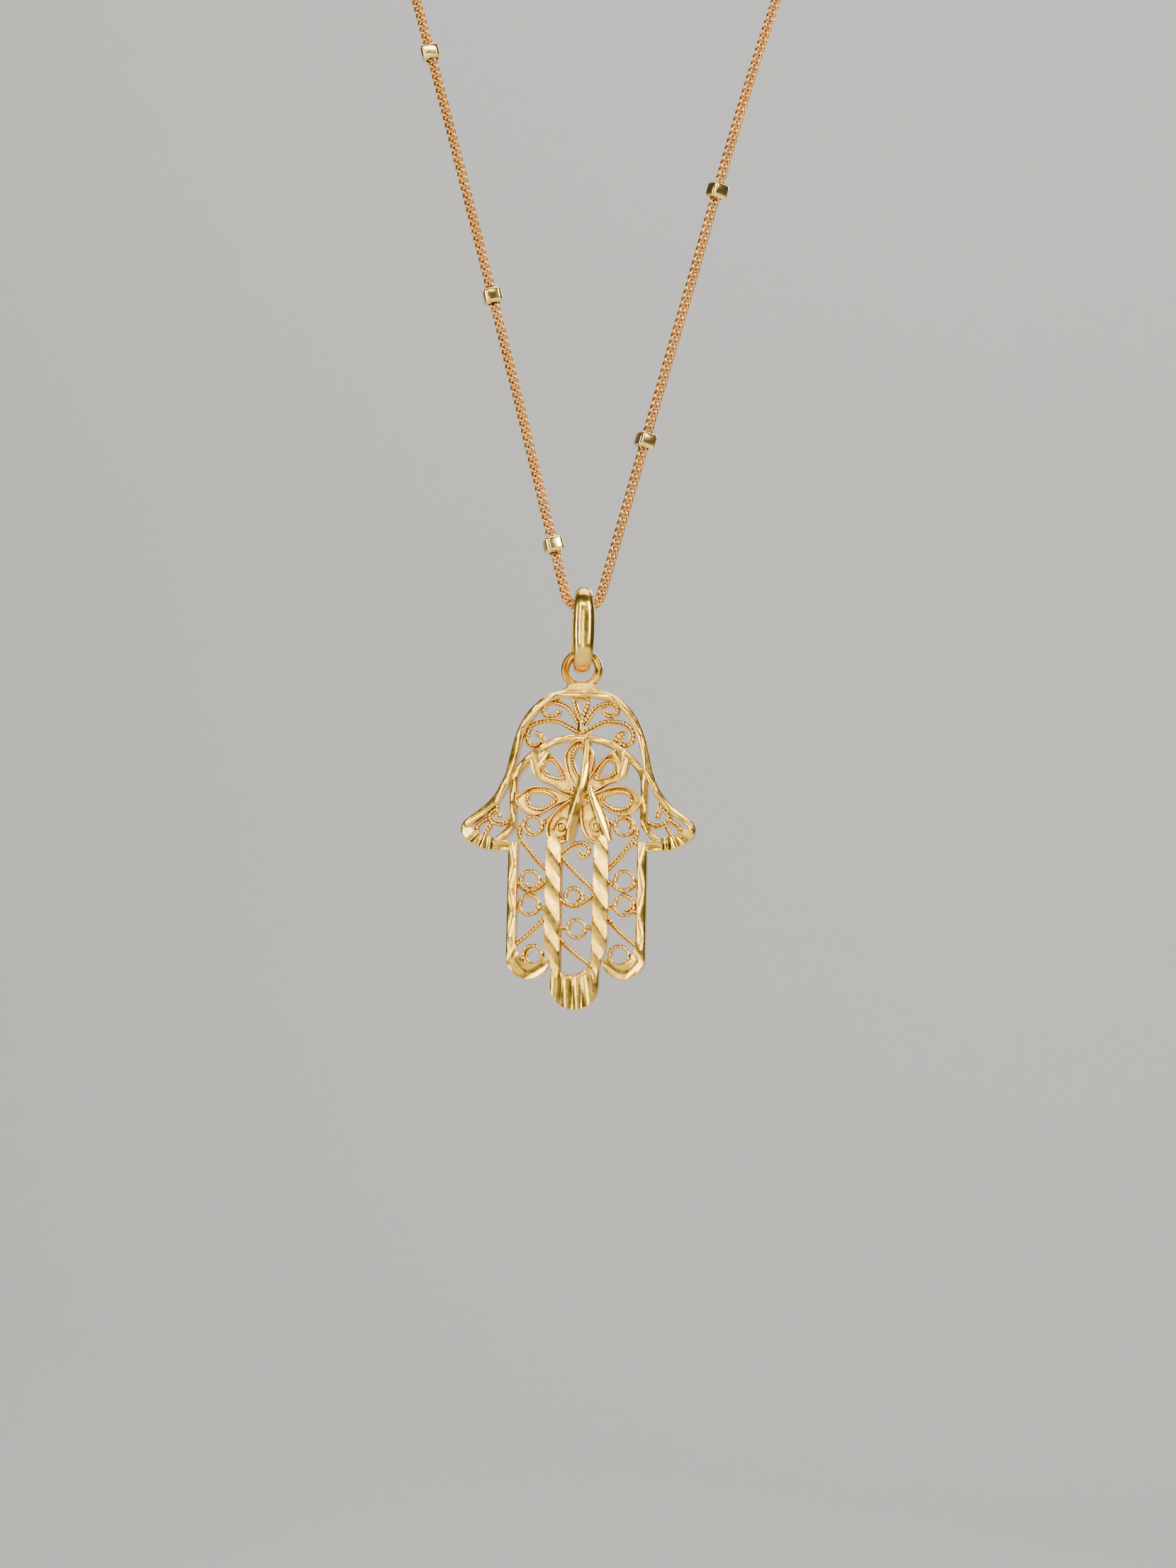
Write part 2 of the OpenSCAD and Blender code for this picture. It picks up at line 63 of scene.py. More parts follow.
# %% Sizes of the hand, in millimetres
MM = 0.001
COLUMNS = 22
ROWS = 30
LOOP_DROP = 2.0
PALM_W = 13
MIDDLE_W = 4.5
HAND_W = (hand_high.x - hand_low.x) / MM
HAND_T = (hand_high.y - hand_low.y) / MM
COLUMN = HAND_W / COLUMNS
ROW = ((loop_at.z - hand_low.z) / MM - LOOP_DROP) / ROWS
BACK = -HAND_T / 2
FRONT = HAND_T / 2
print("hand", round(HAND_W, 2), "wide,", round(ROWS * ROW, 2), "high,", round(HAND_T, 2), "thick, mm")

# %% [markdown]
# ## Drawing lines
#
# Filigree is wire, so most of the hand is lines. A maker bends a wire through a few marks. Here a
# smooth curve through a few marks gives places at equal steps, and a line is drawn by pulling one
# corner from place to place. A section is then swept along it. The other way, a tube from a curve
# object with handles, is quicker to edit by hand but harder to give an even twist.

# %% Marks and smooth lines
def at(col, row):
    """A mark on the hand's grid, which counts columns from the middle and rows from the dome."""
    return Vector((col * COLUMN, -LOOP_DROP - row * ROW, 0))


def marks(table, side=1):
    """Marks on the grid, from a table of columns and rows. side is -1 for their mirror image."""
    return [at(side * col, row) for col, row in table]


def flat(table):
    """Places on the bench, from a table of millimetres across and up."""
    return [Vector((x, y, 0)) for x, y in table]


def between(a, b, c, d, t):
    """The smooth line from b to c, which knows its neighbours a and d."""
    square = (2 * a - 5 * b + 4 * c - d) * t * t
    cube = (3 * b - 3 * c + d - a) * t ** 3
    return 0.5 * (2 * b + (c - a) * t + square + cube)


def smooth(points, closed=False, steps=8):
    """A smooth line through all the marks, with so many steps from each mark to the next."""
    n = len(points)

    def pick(i):
        return points[i % n] if closed else points[min(max(i, 0), n - 1)]

    line = []
    for i in range(n if closed else n - 1):
        near = [pick(i + k) for k in (-1, 0, 1, 2)]
        line += [between(*near, k / steps) for k in range(steps)]
    return line if closed else line + [points[-1].copy()]


def evenly(points, step, closed=False):
    """The same line with its places a near-equal step apart."""
    ring = points + points[:1] if closed else points
    reach = [0.0]
    for a, b in zip(ring, ring[1:]):
        reach.append(reach[-1] + (b - a).length)
    count = max(3, round(reach[-1] / step))
    line = []
    k = 0
    for i in range(count + (0 if closed else 1)):
        s = reach[-1] * i / count
        while k < len(ring) - 2 and reach[k + 1] < s:
            k += 1
        span = reach[k + 1] - reach[k]
        line.append(ring[k].lerp(ring[k + 1], (s - reach[k]) / span if span else 0))
    return line


# %% Selecting, tracing and sweeping
def deselect():
    bpy.ops.object.select_all(action="DESELECT")


def only(*pieces):
    """Selects these pieces alone, and makes the first one active."""
    deselect()
    for piece in pieces:
        piece.select_set(True)
    bpy.context.view_layer.objects.active = pieces[0]


def picked(piece, test):
    """Opens a piece in edit mode with only the corners that pass a test selected."""
    only(piece)
    bpy.ops.object.mode_set(mode="EDIT")
    bpy.ops.mesh.select_mode(type="VERT")
    bpy.ops.mesh.select_all(action="DESELECT")
    bpy.ops.object.mode_set(mode="OBJECT")
    for corner in piece.data.vertices:
        corner.select = test(corner.co)
    bpy.ops.object.mode_set(mode="EDIT")


def drawn(points, closed, name="line"):
    """A line of edges, pulled from one corner through its places."""
    deselect()
    bpy.ops.mesh.primitive_plane_add(size=1)
    line = bpy.context.object
    line.name = name
    bpy.ops.object.mode_set(mode="EDIT")
    bpy.ops.mesh.merge(type="CENTER")
    bpy.ops.transform.translate(value=points[0])
    for a, b in zip(points, points[1:] + (points[:1] if closed else [])):
        bpy.ops.mesh.extrude_vertices_move(TRANSFORM_OT_translate={"value": b - a})
    bpy.ops.mesh.select_all(action="SELECT")
    bpy.ops.mesh.remove_doubles(threshold=1e-4)
    bpy.ops.object.mode_set(mode="OBJECT")
    return line


def section(pairs):
    """A closed section: x is across the wire and y is its height above the bench."""
    drawn(flat(pairs), closed=True, name="section")
    bpy.ops.object.convert(target="CURVE")
    return bpy.context.object


def clean(piece):
    """Merges doubles and points every face outwards."""
    only(piece)
    bpy.ops.object.mode_set(mode="EDIT")
    bpy.ops.mesh.select_all(action="SELECT")
    bpy.ops.mesh.remove_doubles(threshold=2e-4)
    bpy.ops.mesh.normals_make_consistent(inside=False)
    bpy.ops.object.mode_set(mode="OBJECT")
    return piece


def sweep(points, pairs, closed=False, turn=0.0, widths=None):
    """Sweeps a section along a line.

    turn is the length of one full twist, and widths scale the section on the way.
    """
    drawn(points, closed)
    bpy.ops.object.convert(target="CURVE")
    wire = bpy.context.object
    outline = section(pairs)
    curve = wire.data
    curve.dimensions = "3D"
    curve.twist_mode = "Z_UP"
    curve.bevel_mode = "OBJECT"
    curve.bevel_object = outline
    curve.use_fill_caps = True
    places = curve.splines[0].points
    gone = 0.0
    for i, place in enumerate(places):
        if i:
            gone += (place.co - places[i - 1].co).length
        if turn:
            place.tilt = math.tau * gone / turn
        if widths:
            share = i / (len(places) - 1) * (len(widths) - 1)
            k = min(int(share), len(widths) - 2)
            place.radius = widths[k] + (widths[k + 1] - widths[k]) * (share - k)
    only(wire)
    bpy.ops.object.convert(target="MESH")
    wire = bpy.context.object
    bpy.data.objects.remove(outline)
    return clean(wire)


BEVEL_W = 0.08
BEVEL_H = 0.1


def roof(width, low, high, ridge, left, right, shift=0.0):
    """Section of a band cut to two slopes that meet in a ridge, with a narrow bevel at each edge.

    left and right are how far the two slopes fall, and shift moves the section sideways.
    """
    w = width / 2
    pairs = [
        (-w, low), (w, low), (w, high - right - BEVEL_H), (w - BEVEL_W, high - right), (ridge, high),
        (-w + BEVEL_W, high - left), (-w, high - left - BEVEL_H),
    ]
    return [(x + shift, y) for x, y in pairs]


def round_top(width, low, high, sides=6):
    """Section of a wire on edge: straight walls and a round top."""
    w = width / 2
    angles = [math.pi * i / sides for i in range(sides + 1)]
    top = [(w * math.cos(angle), high - w + w * math.sin(angle)) for angle in angles]
    return [(w, low)] + top + [(-w, low)]


def joined(pieces, name):
    """Makes one named piece of several."""
    only(*pieces)
    if len(pieces) > 1:
        bpy.ops.object.join()
    piece = bpy.context.object
    piece.name = name
    piece.data.name = name
    return piece


# %% Plates and cutters
def plate(outline, low, high, edge, holes=()):
    """A flat plate with its front edge broken: outline and holes filled, drawn up, then inset."""
    pieces = [drawn(points, closed=True, name="plate") for points in (outline, *holes)]
    piece = joined(pieces, "plate")
    bpy.ops.object.mode_set(mode="EDIT")
    bpy.ops.mesh.select_all(action="SELECT")
    bpy.ops.transform.translate(value=(0, 0, low))
    bpy.ops.mesh.fill(use_beauty=True)
    bpy.ops.mesh.extrude_region_move(TRANSFORM_OT_translate={"value": (0, 0, high - edge - low)})
    if edge:
        bpy.ops.mesh.inset(thickness=edge, depth=0, use_even_offset=True)
        bpy.ops.transform.translate(value=(0, 0, edge))
    bpy.ops.object.mode_set(mode="OBJECT")
    return clean(piece)


CUTTER_SIDES = 96
CUTTER_RINGS = 40


def laid(cutter, place, lean, dip=0.0):
    """Lays a cutter along the hand, leans and dips it, and puts it in its place."""
    cutter.matrix_world = (
        Matrix.Translation(place)
        @ Matrix.Rotation(lean, 4, "Z")
        @ Matrix.Rotation(math.pi / 2 + dip, 4, "X")
    )
    bpy.ops.object.transform_apply(location=True, rotation=True, scale=True)
    return cutter


def bright_cut(x, y, width, depth, lean, length, dip=0.0, top=FRONT, half=0):
    """A round bar for one bright cut of that width and depth, leaning from the hand's length.

    A half cutter keeps one side only, 1 for its right and -1 for its left, and leaves a sharp step.
    """
    radius = (width * width / 4 + depth * depth) / (2 * depth)
    if half:
        radius = (width * width + depth * depth) / (2 * depth)
    deselect()
    bpy.ops.mesh.primitive_cylinder_add(
        vertices=CUTTER_SIDES, radius=radius, depth=length, location=(0, 0, 0)
    )
    cutter = bpy.context.object
    if half:
        bpy.ops.object.mode_set(mode="EDIT")
        bpy.ops.mesh.bisect(plane_co=(0, 0, 0), plane_no=(half, 0, 0), clear_inner=True, use_fill=True)
        bpy.ops.object.mode_set(mode="OBJECT")
    return laid(cutter, (x, y, top + radius - depth), lean, dip)


def leaf_cut(x, y, width, depth, lean, length):
    """A stretched ball, which comes out of the metal at both ends and so cuts a pointed leaf."""
    reach = width / 2
    radius = (reach * reach + depth * depth) / (2 * depth)
    deselect()
    bpy.ops.mesh.primitive_uv_sphere_add(
        segments=CUTTER_SIDES, ring_count=CUTTER_RINGS, radius=radius, location=(0, 0, 0)
    )
    cutter = bpy.context.object
    bpy.ops.object.mode_set(mode="EDIT")
    bpy.ops.transform.resize(value=(1, 1, length / 2 / reach), center_override=(0, 0, 0))
    bpy.ops.object.mode_set(mode="OBJECT")
    return laid(cutter, (x, y, FRONT + radius - depth), lean)


def carve(piece, cutters):
    """Takes the cutters away from the piece, one after another."""
    for cutter in cutters:
        only(piece)
        change = piece.modifiers.new("bright cut", "BOOLEAN")
        change.operation = "DIFFERENCE"
        change.solver = "EXACT"
        change.object = cutter
        bpy.ops.object.modifier_apply(modifier=change.name)
        bpy.data.objects.remove(cutter)
    return piece


def on_both_sides(piece):
    """A mirrored copy beside the piece, with its faces pointing outwards again."""
    only(piece)
    bpy.ops.object.duplicate()
    twin = bpy.context.object
    bpy.ops.object.mode_set(mode="EDIT")
    bpy.ops.mesh.select_all(action="SELECT")
    bpy.ops.transform.mirror(constraint_axis=(True, False, False), center_override=(0, 0, 0))
    bpy.ops.mesh.flip_normals()
    bpy.ops.object.mode_set(mode="OBJECT")
    return [piece, twin]


SQUASH = (1.06, 1, 0.55)


def granule(x, y, z, radius):
    """A melted grain: a ball that has sunk a little where it was fused."""
    deselect()
    bpy.ops.mesh.primitive_uv_sphere_add(segments=16, ring_count=10, radius=radius, location=(x, y, z))
    bpy.ops.object.mode_set(mode="EDIT")
    bpy.ops.transform.resize(value=SQUASH, center_override=(x, y, z))
    bpy.ops.object.mode_set(mode="OBJECT")
    bpy.ops.object.transform_apply(location=True, rotation=True, scale=True)
    return bpy.context.object


# %% Hanging a finished piece
bench_to_hand = (
    Matrix.Translation(loop_at) @ Matrix.Scale(MM, 4) @ Matrix.Rotation(math.pi / 2, 4, "X")
)


def finished(piece, name, body, metal, place, angle=32):
    """Names a piece, puts it in its place in metres, and gives it its body and metal."""
    piece.name = name
    piece.data.name = name
    only(piece)
    bpy.ops.object.shade_smooth_by_angle(angle=math.radians(angle))
    piece.matrix_world = place
    bpy.ops.object.transform_apply(location=True, rotation=True, scale=True)
    piece.data.materials.clear()
    piece.data.materials.append(metal)
    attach(piece, body)
    print(name, len(piece.data.polygons), "faces")

# %% [markdown]
# ## Gold
#
# Polished gold has no colour of its own but the colour of its mirror. What tells cast gold from
# plated plastic is small: fine scratches that spread each highlight, and a slow change of tone where
# the polish differs. The corners are painted dark orange as shade, where gold would reflect gold.
# Scratches and tone are worked out from the piece's own coordinates, so that they don't slide when it
# moves, and the painted shade from how closely the metal round a place shuts it in.

# %% Metals
# The colour painted into hollows and corners as shade: a deep orange, like gold reflecting gold.
PAINTED_SHADE = (0.42, 0.19, 0.02, 1)
HOLLOW_REACH = 0.0009
OPEN_ENOUGH = 0.78
SCRATCH_DEPTH = 0.00001
PIT_DEPTH = 0.00006
NOISE_LOW = 0.3
NOISE_HIGH = 0.7


def gold(name, light, deep, roughness, scratch=0.25, stipple=0.0, shade_amount=0.5):
    """Polished gold: two tones that drift, fine scratches, and hollows painted darker as shade."""
    metal = bpy.data.materials.new(name)
    metal.use_nodes = True
    nodes = metal.node_tree.nodes
    link = metal.node_tree.links.new
    shader = nodes["Principled BSDF"]
    shader.inputs["Metallic"].default_value = 1.0
    place = nodes.new("ShaderNodeTexCoord")

    def noise(scale, detail, squeeze=(1, 1, 1)):
        """A grain on the piece's own coordinates. A squeeze along one axis draws it out into scratches."""
        stretch = nodes.new("ShaderNodeMapping")
        stretch.inputs["Scale"].default_value = squeeze
        grain = nodes.new("ShaderNodeTexNoise")
        grain.inputs["Scale"].default_value = scale
        grain.inputs["Detail"].default_value = detail
        link(place.outputs["Object"], stretch.inputs["Vector"])
        link(stretch.outputs["Vector"], grain.inputs["Vector"])
        return grain.outputs["Fac"]

    def span(value, low, high):
        """Spreads a grain's middle values over the range from low to high."""
        fit = nodes.new("ShaderNodeMapRange")
        fit.inputs["From Min"].default_value = NOISE_LOW
        fit.inputs["From Max"].default_value = NOISE_HIGH
        fit.inputs["To Min"].default_value = low
        fit.inputs["To Max"].default_value = high
        link(value, fit.inputs["Value"])
        return fit.outputs["Result"]

    tone = nodes.new("ShaderNodeMix")
    tone.data_type = "RGBA"
    tone.inputs["A"].default_value = (*light, 1)
    tone.inputs["B"].default_value = (*deep, 1)
    link(span(noise(420, 3), 0.0, 1.0), tone.inputs["Factor"])
    # Painted shade: an ambient occlusion mask turns the colour towards the dark orange where the metal round
    # a place shuts it in.
    hollow = nodes.new("ShaderNodeAmbientOcclusion")
    hollow.samples = 8
    hollow.inputs["Distance"].default_value = HOLLOW_REACH
    shade_mix = nodes.new("ShaderNodeMix")
    shade_mix.data_type = "RGBA"
    shade_mix.inputs["A"].default_value = PAINTED_SHADE
    link(tone.outputs["Result"], shade_mix.inputs["B"])
    clear = nodes.new("ShaderNodeMapRange")
    clear.inputs["From Min"].default_value = 0.0
    clear.inputs["From Max"].default_value = OPEN_ENOUGH
    clear.inputs["To Min"].default_value = 1 - shade_amount
    link(hollow.outputs["AO"], clear.inputs["Value"])
    link(clear.outputs["Result"], shade_mix.inputs["Factor"])
    link(shade_mix.outputs["Result"], shader.inputs["Base Color"])
    link(span(noise(1500, 4), roughness * 0.7, roughness * 1.4), shader.inputs["Roughness"])
    bump = nodes.new("ShaderNodeBump")
    bump.inputs["Strength"].default_value = scratch
    bump.inputs["Distance"].default_value = SCRATCH_DEPTH
    link(noise(2600, 6, (1, 1, 0.12)), bump.inputs["Height"])
    last = bump
    if stipple:
        pits = nodes.new("ShaderNodeBump")
        pits.inputs["Strength"].default_value = stipple
        pits.inputs["Distance"].default_value = PIT_DEPTH
        link(noise(5200, 2), pits.inputs["Height"])
        link(last.outputs["Normal"], pits.inputs["Normal"])
        last = pits
    link(last.outputs["Normal"], shader.inputs["Normal"])
    return metal


# A metal given a larger shade amount has its hollows painted darker as shade.
cut_gold = gold("cut_gold", (0.93, 0.605, 0.10), (0.74, 0.43, 0.05), 0.19, scratch=0.4)
wire_gold = gold("wire_gold", (0.92, 0.60, 0.11), (0.74, 0.41, 0.05), 0.15, shade_amount=0.7)
stipple_gold = gold("stipple_gold", (0.86, 0.58, 0.13), (0.72, 0.44, 0.07), 0.32, stipple=0.8)
bail_gold = gold("bail_gold", (0.90, 0.61, 0.13), (0.74, 0.45, 0.06), 0.2, scratch=0.5)
chain_gold = gold("chain_gold", (0.86, 0.46, 0.09), (0.70, 0.31, 0.04), 0.2, shade_amount=0.8)
bead_gold = gold("bead_gold", (0.96, 0.71, 0.25), (0.90, 0.60, 0.15), 0.15)
print(len(bpy.data.materials), "metals")

# %% [markdown]
# ## The frame of the hand
#
# The frame is a cast band, and its front is cut bright with a turning tool that leaves long shallow
# hollows with sharp ends. Those ends are the lines that flash. A band is swept along the outline,
# and cutters then take the hollows out of it, each at its own lean. A stretched ball leaves a hollow
# that fades at both ends, as on the dome, and a round bar cuts a flute right across, as on the tips.

# %% Outline of the dome and the thumbs
dome_half = [
    (0, 0), (1.5, 0.03), (3, 0.42), (4, 1.1), (4.95, 2.1), (5.6, 3.2), (6.05, 4.3), (6.35, 5.4),
    (6.6, 6.5), (6.9, 7.8), (7.4, 9), (8, 10.05), (8.9, 11), (10.2, 12), (10.8, 12.55),
    (11, 13.15), (10.85, 13.75), (10.3, 14.3), (9.3, 14.85), (8.6, 15.1), (7, 15.15), (6.45, 15.15),
]
FRAME_W = 0.7
over_the_dome = smooth(marks(reversed(dome_half), -1) + marks(dome_half[1:]))
over_the_dome = evenly(over_the_dome, 0.22)
dome_section = roof(FRAME_W, BACK, FRONT, ridge=0.05, left=0.1, right=0.1, shift=FRAME_W / 2)
dome = sweep(over_the_dome, dome_section)
print("dome band", len(dome.data.vertices), "corners")

# %% Sides and bowls of the outer fingers
SIDE_W = 0.9
SIDE_TOP = 14.4
OUTER_GAP = 0.15
OUTER_W = (PALM_W - MIDDLE_W) / 2 - OUTER_GAP
OUTER_END = 27.2
BOWL_R = OUTER_W / 2
bowl_at = Vector((PALM_W / 2 - BOWL_R, -LOOP_DROP - OUTER_END + BOWL_R, 0))


def arc(centre, radius, start, end, steps):
    """Places along an arc, from one angle to another, in degrees."""
    angles = [math.radians(start + (end - start) * i / steps) for i in range(steps + 1)]
    return [centre + Vector((radius * math.cos(a), radius * math.sin(a), 0)) for a in angles]


straight_side = evenly(flat([(PALM_W / 2, -LOOP_DROP - SIDE_TOP), (PALM_W / 2, bowl_at.y)]), 0.5)
outer_side = straight_side[:-1] + arc(bowl_at, BOWL_R, 0, -178, 36)
side_section = roof(SIDE_W, BACK, FRONT, ridge=-0.2, left=0.12, right=0.1, shift=SIDE_W / 2)
side = sweep(outer_side, side_section)
bowl_inside = smooth(flat([
    (2.9, -26.9), (3.15, -27.35), (3.6, -27.7), (4.2, -27.82), (4.8, -27.6), (5.2, -27.1), (5.5, -26.4),
    (5.7, -25.6),
]), steps=2)
bowl_outside = arc(bowl_at, BOWL_R - SIDE_W * 0.6, 15, -175, 24)
bowl = plate(bowl_outside + bowl_inside[1:-1], BACK, FRONT - 0.06, 0.03)

# %% Solid ends of the thumbs
thumb_front = [
    (10.75, 13.05), (10.88, 13.6), (10.35, 14.22), (9.3, 14.8), (8.6, 15.06), (7, 15.1), (6.35, 15.1),
    (6.35, 14.4), (7.2, 14.2), (7.9, 13.95), (8.8, 13.8), (9.5, 13.45), (10.1, 13.05),
]
thumb = plate(smooth(marks(thumb_front), closed=True, steps=4), BACK, FRONT - 0.02, 0.08)

# %% Tip of the middle finger
TIP_OFF_CENTRE = -0.05
TIP_TOP = -28.2
RAIL_W = 0.22
RAIL_TOP = 0.3
tip_at = Vector((TIP_OFF_CENTRE, -LOOP_DROP - ROWS * ROW + MIDDLE_W / 2, 0))
tip_inside = smooth(flat([
    (-1.5, -28.2), (-1.25, -28.5), (-0.8, -28.75), (-0.1, -28.8), (0.5, -28.55), (0.9, -28.3), (1.5, -27.9),
]), steps=4)
tip_arc = arc(tip_at, MIDDLE_W / 2, 0, -180, 40)
tip_outside = flat([(MIDDLE_W / 2, TIP_TOP)]) + tip_arc + flat([(-MIDDLE_W / 2, TIP_TOP)])
tip = plate(tip_outside + tip_inside, BACK, FRONT, 0.1)
rails = [
    sweep(flat([(s * 1.58, -15.7), (s * 1.58, -22), (s * 1.5, -28.3)]), round_top(RAIL_W, BACK, RAIL_TOP))
    for s in (-1, 1)
]
print("bowl", len(bowl.data.polygons), "faces, tip", len(tip.data.polygons), "faces")

# %% [markdown]
# Each cut is one pass of the tool. On the dome they follow the band and cross it at a slant, so a
# bright face ends in a point. On the thumbs and the middle tip they run side by side as flutes with
# sharp ridges, and a few broad flat cuts cross the foot of each outer finger.

# %% Cuts on the dome, the sides, the thumbs and the bowls
CUT_STEP = 0.1
LOOK_AHEAD = 3


def cuts_along(line, first, gap, count, width, depth, slant, length, shift=0.0, tool=bright_cut, **kind):
    """Up to count cutters spaced along a line, each crossing it at a slant that changes sides."""
    places = evenly(line, CUT_STEP)
    cutters = []
    for i in range(count):
        k = int((first + i * gap) / CUT_STEP)
        if k + LOOK_AHEAD >= len(places):
            break
        ahead = places[k + LOOK_AHEAD] - places[k]
        across = Vector((ahead.y, -ahead.x, 0)).normalized()
        spot = places[k] + across * shift
        lean = math.atan2(-ahead.x, ahead.y) + slant * (1 if i % 2 else -1)
        cutters.append(tool(spot.x, spot.y, width, depth, lean, length, **kind))
    return cutters


dome = carve(dome, cuts_along(
    over_the_dome, first=2.4, gap=2.6, count=22, width=0.62, depth=0.09, slant=0.12, length=4.4,
    shift=0.42, tool=leaf_cut,
))
# The side is cut only along its straight part, which has this many places.
SIDE_CUT_TO = 22
side = carve(side, cuts_along(
    outer_side[:SIDE_CUT_TO], first=0.9, gap=2.3, count=5, width=1.2, depth=0.1, slant=0.22, length=4.4,
    shift=0.5, tool=leaf_cut,
))


def bowl_cuts():
    """The flat cuts over the foot of an outer finger: x, y, width, depth, lean and length of each."""
    return [
        bright_cut(5.9, -27.4, 1.9, 0.16, 0.5, 3.4),
        bright_cut(4.9, -28.6, 1.9, 0.2, -0.75, 3.0),
        bright_cut(3.3, -28.3, 2.2, 0.22, 1.0, 3.2),
    ]


THUMB_FLUTE_DEPTH = 0.15
THUMB_FLUTE_L = 2.6
THUMB_FLUTE_DIP = 0.05


def thumb_cuts(way):
    """The fan of flutes over the foot of a thumb, and the long facet from there to the side.

    The table has x, y, width and lean. way is 1 for the right thumb and -1 for the left.
    """
    flutes = [(8.33, -16.6, 1.15, 0.1), (9.25, -16.45, 0.82, 0.4), (9.98, -16.1, 0.8, 0.8)]
    fan = [
        bright_cut(way * x, y, width, THUMB_FLUTE_DEPTH, way * lean, THUMB_FLUTE_L, dip=THUMB_FLUTE_DIP)
        for x, y, width, lean in flutes
    ]
    return fan + [leaf_cut(way * 7.05, -16.95, 0.9, 0.14, way * 1.55, 2.6)]


side = carve(side, bowl_cuts())
bowl = carve(bowl, bowl_cuts())
thumb = carve(thumb, thumb_cuts(1))
dome = carve(dome, thumb_cuts(1) + thumb_cuts(-1))
print("frame cut")

# %% Flutes of the middle finger's tip
TIP_FLUTE_L = 5.2
GRAIN_R = 0.17
GRAIN_SUNK = 0.05
# Each flute has x, y, width, depth, dip and lean.
tip_flutes = [
    (-1.85, -30.6, 1.35, 0.14, 0.05, -0.06), (-0.7, -31.2, 1.2, 0.17, 0.07, 0),
    (0.28, -31.2, 0.95, 0.15, 0.06, 0.03), (1.5, -30.6, 1.8, 0.16, 0.05, 0.12),
]
tip = carve(tip, [
    bright_cut(x, y, width, depth, lean, TIP_FLUTE_L, dip=dip)
    for x, y, width, depth, dip, lean in tip_flutes
])
web_grains = [(-1.05, -28.85), (-0.65, -29.1), (-0.2, -29.15), (0.25, -29.0), (0.6, -28.85), (0.95, -28.65)]
frame_parts = [dome, *rails, tip]
frame_parts += [granule(x, y, FRONT - GRAIN_SUNK, GRAIN_R) for x, y in web_grains]
for part in (side, bowl, thumb):
    frame_parts += on_both_sides(part)
frame_piece = joined(frame_parts, "hand_frame")
finished(frame_piece, "hand_frame", "hamsa", cut_gold, bench_to_hand)
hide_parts("hamsa")

# %% [markdown]
# ## Arch and dividers
#
# An arch spans the palm and runs down into the thumbs, and two broad bars part the fingers. The bars
# carry the brightest work on the hand: long flutes side by side, each leaning across the bar, so the
# ridges between them run down from left to right.

# %% The arch
ARCH_W = 0.65
arch_half = [
    (0, 4.47), (2, 4.8), (3, 5.2), (4, 5.8), (5, 6.7), (5.85, 7.75), (6.1, 8.6), (6.15, 10),
    (6.15, 12.5), (6.5, 13.2), (7.2, 13.95), (7.9, 14.5),
]
arch_line = evenly(smooth(marks(reversed(arch_half), -1) + marks(arch_half[1:])), 0.22)
arch = sweep(arch_line, roof(ARCH_W, BACK, FRONT - 0.02, ridge=0.0, left=0.08, right=0.08))
arch = carve(arch, cuts_along(
    arch_line, first=1.4, gap=2.1, count=22, width=0.6, depth=0.09, slant=0.16, length=3.4, tool=leaf_cut,
))
finished(arch, "hand_arch", "hamsa", cut_gold, bench_to_hand)
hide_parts("hamsa")

# %% The bars between the fingers
bar_outline = [
    (2.15, -15.75), (1.75, -16.1), (1.58, -16.8), (1.55, -20), (1.55, -24), (1.5, -27.2), (1.45, -28.2),
    (1.7, -29.3), (2.05, -29.0), (2.2, -28.2), (2.42, -27.3), (2.75, -26.6), (2.95, -25.5), (2.95, -21),
    (2.93, -17.4), (2.88, -16.8), (2.75, -16.1), (2.45, -15.75),
]
BAR_TOP = FRONT + 0.06
FLUTE_COUNT = 6
FLUTE_W = 1.35
FLUTE_DEPTH = 0.1
FLUTE_LEAN = 0.58
FLUTE_L = 5
FLUTE_GAP = 2.75
FLUTE_SHIFT = 0.3
FIRST_RIGHT = -15.6
FIRST_LEFT = -16.8
bar = plate(flat(bar_outline), BACK, BAR_TOP, 0.07)
twins = on_both_sides(bar)
for twin, x, first in zip(twins, (MIDDLE_W / 2, -MIDDLE_W / 2), (FIRST_RIGHT, FIRST_LEFT)):
    heights = [first - i * FLUTE_GAP for i in range(FLUTE_COUNT)]
    carve(twin, [
        bright_cut(x - FLUTE_SHIFT, y, FLUTE_W, FLUTE_DEPTH, FLUTE_LEAN, FLUTE_L, top=BAR_TOP, half=1)
        for y in heights
    ])
bars = joined(twins, "hand_dividers")
finished(bars, "hand_dividers", "hamsa", cut_gold, bench_to_hand)
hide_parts("hamsa")

# %% [markdown]
# ## The flower
#
# Seven petals open from the palm's middle. Each has a smooth outer wall, and the five upper ones have
# a rim of roped wire round an opening. The two low petals are closed cups, each with a thin ring of
# wire and one granule. A long cut bar crosses the flower from the arch to the fingers, and a short one
# runs down at its right.

# %% Roped wire
ROPE_TURN = 0.74
ROPE_STEP = 0.062
ROPE_SIDES = 8


def rope(points, width, height, closed=False, turn=ROPE_TURN):
    """A flattened wire twisted like a rope, which catches the light in short dashes."""
    fat = width / 2
    thin = width / 2.7
    angles = [math.tau * i / ROPE_SIDES for i in range(ROPE_SIDES)]
    pairs = [(fat * math.cos(angle), thin * math.sin(angle)) for angle in angles]
    line = evenly(points, ROPE_STEP, closed)
    if closed:
        turn = ROPE_STEP * len(line) / max(1, round(ROPE_STEP * len(line) / turn))
        line = line + [line[0].copy()]
    lifted = [p + Vector((0, 0, height)) for p in line]
    return sweep(lifted, pairs, turn=turn)


